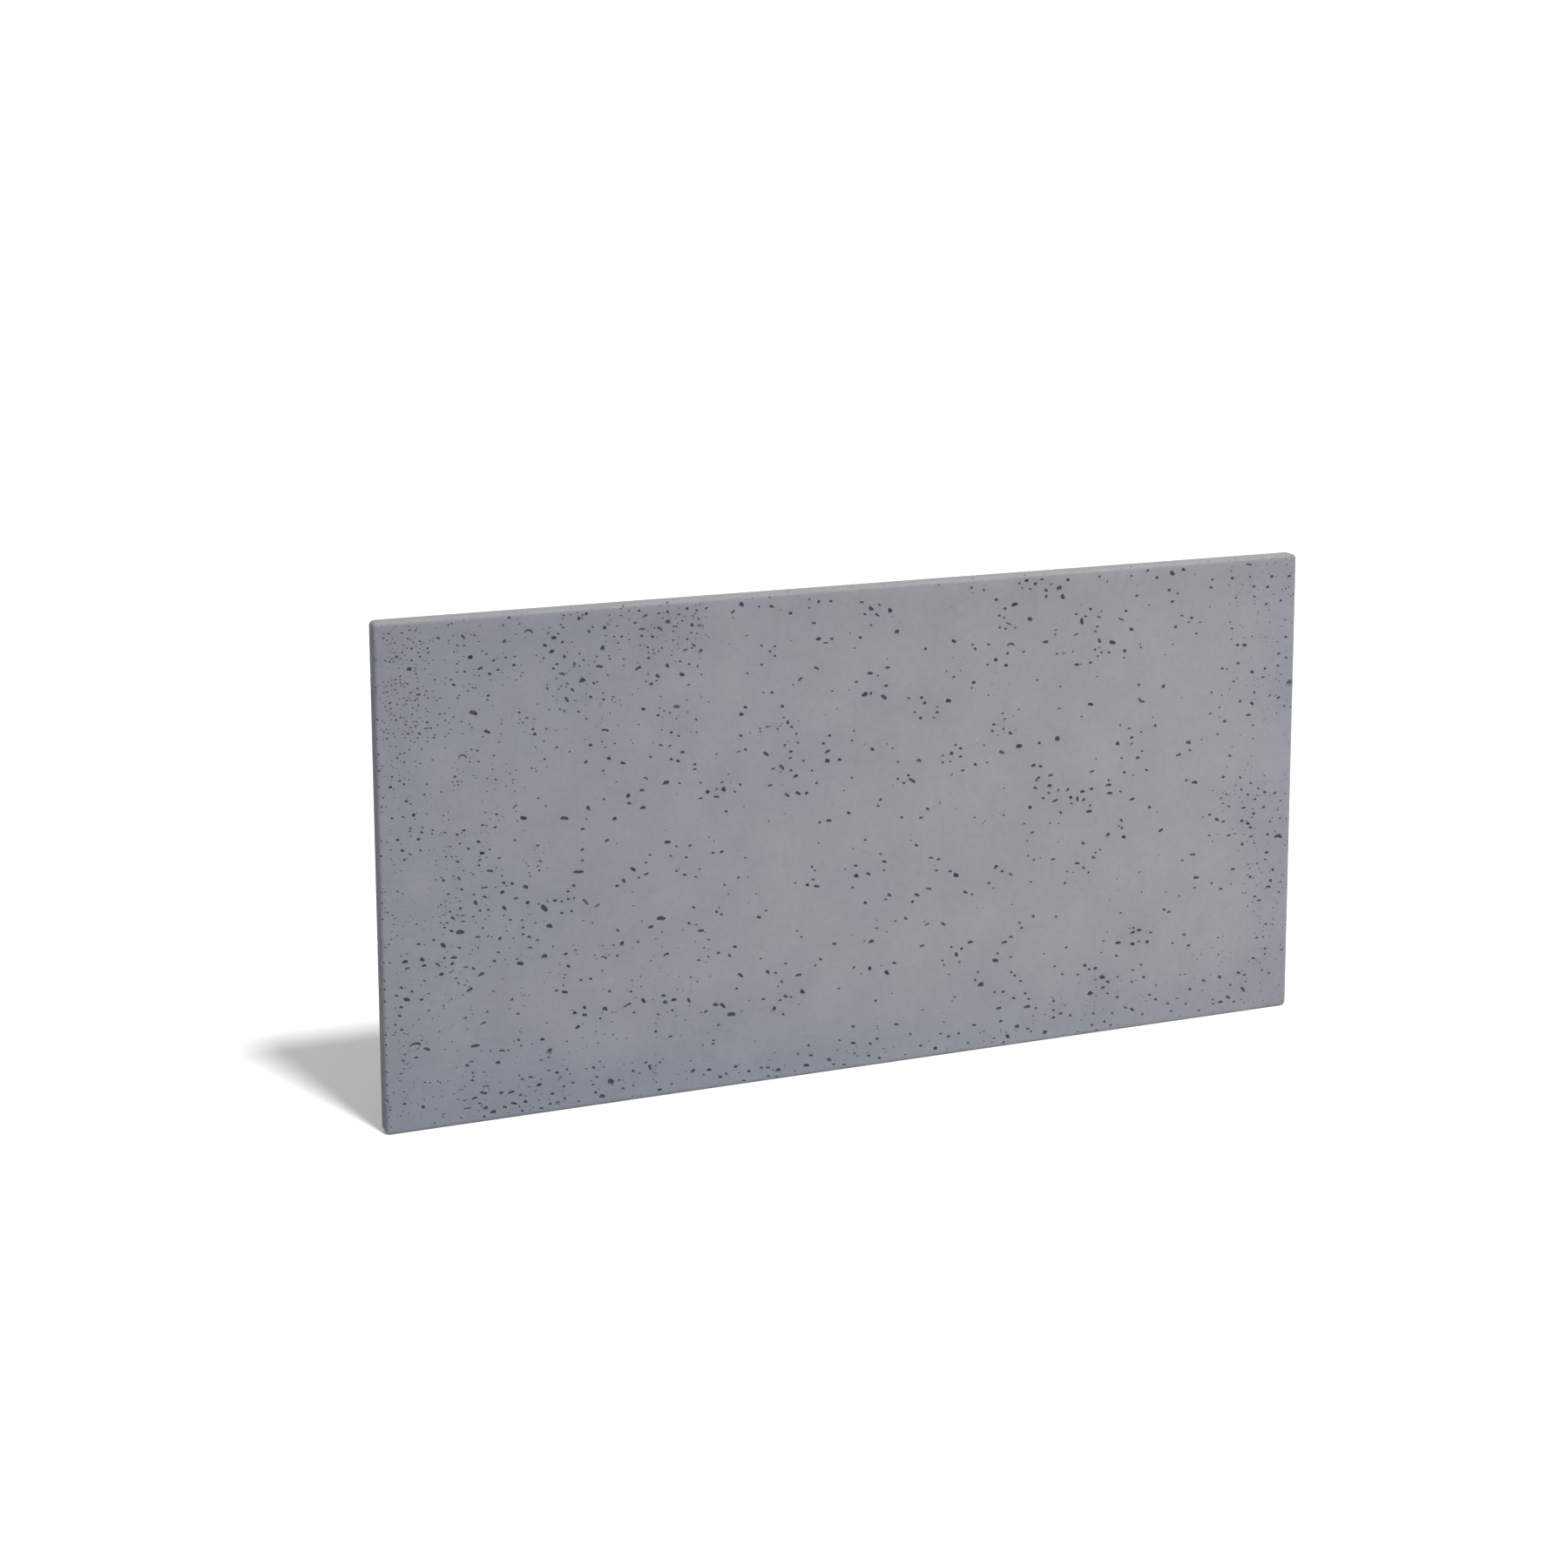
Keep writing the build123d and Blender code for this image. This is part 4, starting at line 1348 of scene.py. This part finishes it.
class BackingLayerSettings(bpy.types.PropertyGroup):
    """Sizes and greys of the backing cast."""

    edge_radius: bpy.props.FloatProperty(
        name="Back edge radius", description="Wear along the struck back edges",
        default=0.0004, min=0.0002, max=0.003, **LENGTH_UNIT,
    )
    grain_depth: bpy.props.FloatProperty(
        name="Grain depth", description="Relief of the coarse sand grain", default=0.00018, **LENGTH_UNIT,
    )
    tool_depth: bpy.props.FloatProperty(
        name="Tool depth", description="Depth of the float's sweeps over the struck back",
        default=0.0006, min=0.0, max=0.002, **LENGTH_UNIT,
    )
    roughness: bpy.props.FloatProperty(
        name="Roughness", description="Dullness of the floated surface", default=0.86, min=0.1, max=0.94,
    )
    # Painted shade: the cool grey is also darker than the warm one, for less light at the left end.
    shaded_cool_grey: bpy.props.FloatVectorProperty(
        name="Cool grey", description="Cement colour at the left end",
        default=(0.250, 0.262, 0.290), **COLOUR,
    )
    # Painted light: the warm grey is also lighter, for more light at the right end.
    lit_warm_grey: bpy.props.FloatVectorProperty(
        name="Warm grey", description="Cement colour right of the middle",
        default=(0.318, 0.322, 0.338), **COLOUR,
    )
    # Painted shade: the insides of the voids are darkened towards this grey.
    void_shade_grey: bpy.props.FloatVectorProperty(
        name="Void grey", description="Colour of the dusty inside of the voids",
        default=(0.160, 0.172, 0.205), **COLOUR,
    )
    # Painted light: the top is lighter than the front because it faces the light from above.
    top_lit_grey: bpy.props.FloatVectorProperty(
        name="Top grey", description="Colour of the top edge, where pale dust has settled",
        default=TOP_LIT_GREY, **COLOUR,
    )
    crowd_chill: bpy.props.FloatProperty(
        name="Crowd chill", description="How much cooler the cement is round crowded voids",
        default=CROWD_CHILL, min=0.0, max=1.0,
    )
    seed: bpy.props.IntProperty(name="Seed", description="Starting number of the void scatter", default=23)


class GlassMeshSettings(bpy.types.PropertyGroup):
    """Colours and fineness of the glass-fibre strands."""

    glass_white: bpy.props.FloatVectorProperty(
        name="Glass white", description="Colour of the bare filaments",
        default=(0.78, 0.79, 0.76), **COLOUR,
    )
    resin_tint: bpy.props.FloatVectorProperty(
        name="Resin tint", description="Colour where the resin coat is thick",
        default=(0.66, 0.68, 0.60), **COLOUR,
    )
    filament_width: bpy.props.FloatProperty(
        name="Filament width", description="Width of one bundle of filaments",
        default=0.0005, **LENGTH_UNIT,
    )
    twist: bpy.props.FloatProperty(
        name="Twist", description="Sideways run of the filaments for each unit of length", default=0.12,
    )


class StudioSettings(bpy.types.PropertyGroup):
    """The camera, the light and the floor."""

    camera_place: bpy.props.FloatVectorProperty(
        name="Camera place", description="Where the camera stands", size=3,
        subtype="TRANSLATION", unit="LENGTH", default=(-1.3084, -3.0379, 1.1919),
    )
    camera_azimuth: bpy.props.FloatProperty(
        name="Camera azimuth", description="Turn of the camera round the panel, from straight in front",
        subtype="ANGLE", default=math.radians(-22.562),
    )
    camera_elevation: bpy.props.FloatProperty(
        name="Camera elevation", description="How steeply the camera looks down",
        subtype="ANGLE", default=math.radians(8.871),
    )
    camera_roll: bpy.props.FloatProperty(
        name="Camera roll", description="Tilt of the camera about its own line of sight",
        subtype="ANGLE", default=math.radians(-0.050),
    )
    lens: bpy.props.FloatProperty(
        name="Lens", description="Focal length on a 36 mm sensor, in millimetres", default=64.241,
    )
    shift_x: bpy.props.FloatProperty(name="Shift across", description="Lens shift sideways", default=-0.02778)
    shift_y: bpy.props.FloatProperty(name="Shift up", description="Lens shift upwards", default=-0.16667)
    key_elevation: bpy.props.FloatProperty(
        name="Key elevation", description="Height of the key light above the floor",
        subtype="ANGLE", default=math.radians(57.9),
    )
    key_azimuth: bpy.props.FloatProperty(
        name="Key azimuth", description="Turn of the key light, from straight in front to the right",
        subtype="ANGLE", default=math.radians(15.2),
    )
    key_spread: bpy.props.FloatProperty(
        name="Key spread", description="Width of the key light in the sky, which softens the shadow",
        subtype="ANGLE", default=math.radians(8.5),
    )
    key_strength: bpy.props.FloatProperty(
        name="Key strength", description="Strength of the key light", default=2.84,
    )
    sky_strength: bpy.props.FloatProperty(
        name="Sky strength", description="Strength of the soft light from all round", default=0.445,
    )
    floor_colour: bpy.props.FloatVectorProperty(
        name="Floor colour", description="Floor as the camera sees it",
        default=(0.95, 0.95, 0.95), **COLOUR,
    )
    floor_bounce: bpy.props.FloatVectorProperty(
        name="Floor bounce", description="Floor as the panel is lit by it",
        default=(0.50, 0.50, 0.50), **COLOUR,
    )
    floor_lift: bpy.props.FloatProperty(
        name="Floor lift", description="Evenness that the floor has to the camera, where 1 is white",
        default=0.085, min=0.0, max=1.0,
    )
    floor_size: bpy.props.FloatProperty(
        name="Floor size", description="Side of the square floor", default=60.0, **LENGTH_UNIT,
    )


class ConcretePanelSettings(bpy.types.PropertyGroup):
    """All the settings of the panel and its studio."""

    face: bpy.props.PointerProperty(type=FaceLayerSettings, name="Face layer")
    backing: bpy.props.PointerProperty(type=BackingLayerSettings, name="Backing layer")
    glass_mesh: bpy.props.PointerProperty(type=GlassMeshSettings, name="Glass-fibre mesh")
    studio: bpy.props.PointerProperty(type=StudioSettings, name="Studio")


def direction_from(azimuth, elevation):
    """The direction of something seen from the panel, turned from straight in front towards the right end."""
    level = math.cos(elevation)
    return Vector((math.sin(azimuth) * level, -math.cos(azimuth) * level, math.sin(elevation)))


class CONCRETE_PANEL_OT_build_studio(bpy.types.Operator):
    """Set the camera, the light, the white surround and the floor"""

    bl_idname = "concrete_panel.build_studio"
    bl_label = "Build Studio"

    def execute(self, context):
        settings = context.scene.concrete_panel.studio
        self.add_camera(context, settings)
        self.add_key_light(context, settings)
        self.add_surround(context, settings)
        self.add_floor(context, settings)
        context.scene.view_settings.view_transform = "Standard"
        return {"FINISHED"}

    def add_camera(self, context, settings):
        """Stands the camera in front of the panel, to the left of its middle."""
        data = bpy.data.cameras.new("studio_camera")
        data.sensor_width = 36.0
        data.lens = settings.lens
        data.shift_x = settings.shift_x
        data.shift_y = settings.shift_y
        data.clip_end = 200.0
        camera = bpy.data.objects.new("studio_camera", data)
        back = direction_from(settings.camera_azimuth, settings.camera_elevation)
        turn = back.to_track_quat("Z", "Y").to_matrix()
        roll = Matrix.Rotation(settings.camera_roll, 3, "Z")
        camera.matrix_world = Matrix.Translation(settings.camera_place) @ (turn @ roll).to_4x4()
        context.scene.collection.objects.link(camera)
        context.scene.camera = camera

    def add_key_light(self, context, settings):
        """Hangs a broad, distant key light."""
        data = bpy.data.lights.new("key_light", "SUN")
        data.energy = settings.key_strength
        data.angle = settings.key_spread
        light = bpy.data.objects.new("key_light", data)
        towards = direction_from(settings.key_azimuth, settings.key_elevation)
        light.rotation_euler = towards.to_track_quat("Z", "Y").to_euler()
        light.location = towards * 4.0
        context.scene.collection.objects.link(light)

    def add_surround(self, context, settings):
        """Lights the panel softly from all round, against a white background."""
        world = bpy.data.worlds.new("studio_surround")
        world.use_nodes = True
        context.scene.world = world
        tree = world.node_tree
        tree.nodes.clear()
        sky = tree.nodes.new("ShaderNodeBackground")
        sky.inputs["Color"].default_value = (1.0, 1.0, 1.0, 1.0)
        sky.inputs["Strength"].default_value = settings.sky_strength
        white = tree.nodes.new("ShaderNodeBackground")
        white.inputs["Color"].default_value = (1.0, 1.0, 1.0, 1.0)
        white.inputs["Strength"].default_value = 1.0
        ray = tree.nodes.new("ShaderNodeLightPath")
        seen = ray.outputs["Is Camera Ray"]
        for other in ("Is Glossy Ray", "Is Transmission Ray"):
            either = tree.nodes.new("ShaderNodeMath")
            either.operation = "MAXIMUM"
            tree.links.new(seen, either.inputs[0])
            tree.links.new(ray.outputs[other], either.inputs[1])
            seen = either.outputs[0]
        choice = tree.nodes.new("ShaderNodeMixShader")
        tree.links.new(seen, choice.inputs[0])
        tree.links.new(sky.outputs[0], choice.inputs[1])
        tree.links.new(white.outputs[0], choice.inputs[2])
        output = tree.nodes.new("ShaderNodeOutputWorld")
        tree.links.new(choice.outputs[0], output.inputs["Surface"])

    def add_floor(self, context, settings):
        """Lays the floor at the foot of the panel."""
        half = settings.floor_size / 2
        data = bpy.data.meshes.new("studio_floor")
        corners = [(-half, -half, 0.0), (half, -half, 0.0), (half, half, 0.0), (-half, half, 0.0)]
        data.from_pydata(corners, [], [(0, 1, 2, 3)])
        data.materials.append(studio_floor(settings))
        floor = bpy.data.objects.new("studio_floor", data)
        context.scene.collection.objects.link(floor)


class CONCRETE_PANEL_OT_cast_face_layer(bpy.types.Operator):
    """Cast the fine face layer, with its rounded edges and its air voids"""

    bl_idname = "concrete_panel.cast_face_layer"
    bl_label = "Cast Face Layer"

    def execute(self, context):
        settings = context.scene.concrete_panel.face
        edge = settings.edge_radius / MM
        corner = settings.corner_radius / MM
        front = FACE_LOW.y / MM
        skin = Skin(edge, corner, FACE_DEPTH - edge, front, FRONTWARDS, FACE_EDGE_STEPS)
        draw = random.Random(settings.seed)
        field = VoidField(skin, settings.deepest_void / MM)
        for entries in LARGE_VOIDS.values():
            for entry in entries:
                field.add_large(entry, draw)
        for entries in ROUND_VOIDS.values():
            for entry in entries:
                field.add_round(entry, draw)
        for region in SMALL_VOIDS + PINHOLES:
            field.scatter(*region, draw)
        mesh = CastMesh()
        end = cover_skin(mesh, skin, field, FACE_SPACING, draw)
        grooves, depth = strand_grooves("mesh_lengthwise_strands", True)
        close_interface(mesh, end, FACE_HIGH.y / MM, BACKWARDS, grooves, depth)
        piece = make_piece("face_layer_cast", mesh)
        piece.data.materials.append(face_concrete(settings))
        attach(piece, BODY)
        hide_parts("face_layer")
        return {"FINISHED"}


class CONCRETE_PANEL_OT_cast_backing_layer(bpy.types.Operator):
    """Cast the fibre backing layer, struck off and floated at the back"""

    bl_idname = "concrete_panel.cast_backing_layer"
    bl_label = "Cast Backing Layer"

    def execute(self, context):
        settings = context.scene.concrete_panel.backing
        corner = context.scene.concrete_panel.face.corner_radius / MM
        edge = settings.edge_radius / MM
        back = BACKING_HIGH.y / MM
        tool_depth = settings.tool_depth / MM
        skin = Skin(edge, corner, BACKING_DEPTH - edge, back, BACKWARDS, BACKING_EDGE_STEPS, tool_depth)
        draw = random.Random(settings.seed)
        field = VoidField(skin, EDGE_VOID_DEPTH)
        for region in BACKING_PINHOLES:
            field.scatter(*region, draw)
        mesh = CastMesh()
        end = cover_skin(mesh, skin, field, BACKING_SPACING, draw)
        grooves, depth = strand_grooves("mesh_upright_strands", False)
        close_interface(mesh, end, BACKING_LOW.y / MM, FRONTWARDS, grooves, depth)
        piece = make_piece("backing_layer_cast", mesh)
        piece.data.materials.append(backing_concrete(settings))
        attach(piece, BODY)
        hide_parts("backing_layer")
        return {"FINISHED"}


class CONCRETE_PANEL_OT_coat_glass_mesh(bpy.types.Operator):
    """Give the strands of the hidden mesh their filaments and resin coat"""

    bl_idname = "concrete_panel.coat_glass_mesh"
    bl_label = "Coat Glass Mesh"

    def execute(self, context):
        settings = context.scene.concrete_panel.glass_mesh
        for node, lengthwise in (("mesh_lengthwise_strands", True), ("mesh_upright_strands", False)):
            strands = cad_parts[node]
            strands.data.materials.clear()
            strands.data.materials.append(glass_strand(settings, lengthwise))
        return {"FINISHED"}


class CONCRETE_PANEL_PT_sidebar(bpy.types.Panel):
    """The panel's operators and settings, in the sidebar of the 3D view"""

    bl_idname = "CONCRETE_PANEL_PT_sidebar"
    bl_label = "Concrete Panel"
    bl_space_type = "VIEW_3D"
    bl_region_type = "UI"
    bl_category = "Concrete Panel"

    def draw(self, context):
        settings = context.scene.concrete_panel
        for operator, group in (
            (CONCRETE_PANEL_OT_build_studio, settings.studio),
            (CONCRETE_PANEL_OT_cast_face_layer, settings.face),
            (CONCRETE_PANEL_OT_cast_backing_layer, settings.backing),
            (CONCRETE_PANEL_OT_coat_glass_mesh, settings.glass_mesh),
        ):
            box = self.layout.box()
            box.operator(operator.bl_idname)
            for name in group.__annotations__:
                box.prop(group, name)


CLASSES = (
    FaceLayerSettings,
    BackingLayerSettings,
    GlassMeshSettings,
    StudioSettings,
    ConcretePanelSettings,
    CONCRETE_PANEL_OT_build_studio,
    CONCRETE_PANEL_OT_cast_face_layer,
    CONCRETE_PANEL_OT_cast_backing_layer,
    CONCRETE_PANEL_OT_coat_glass_mesh,
    CONCRETE_PANEL_PT_sidebar,
)


def register():
    for kind in CLASSES:
        bpy.utils.register_class(kind)
    bpy.types.Scene.concrete_panel = bpy.props.PointerProperty(type=ConcretePanelSettings)


def unregister():
    del bpy.types.Scene.concrete_panel
    for kind in reversed(CLASSES):
        bpy.utils.unregister_class(kind)


def main():
    """Builds the studio and the panel."""
    register()
    bpy.ops.concrete_panel.build_studio()
    bpy.ops.concrete_panel.cast_face_layer()
    bpy.ops.concrete_panel.cast_backing_layer()
    bpy.ops.concrete_panel.coat_glass_mesh()


if __name__ == "__main__":
    main()
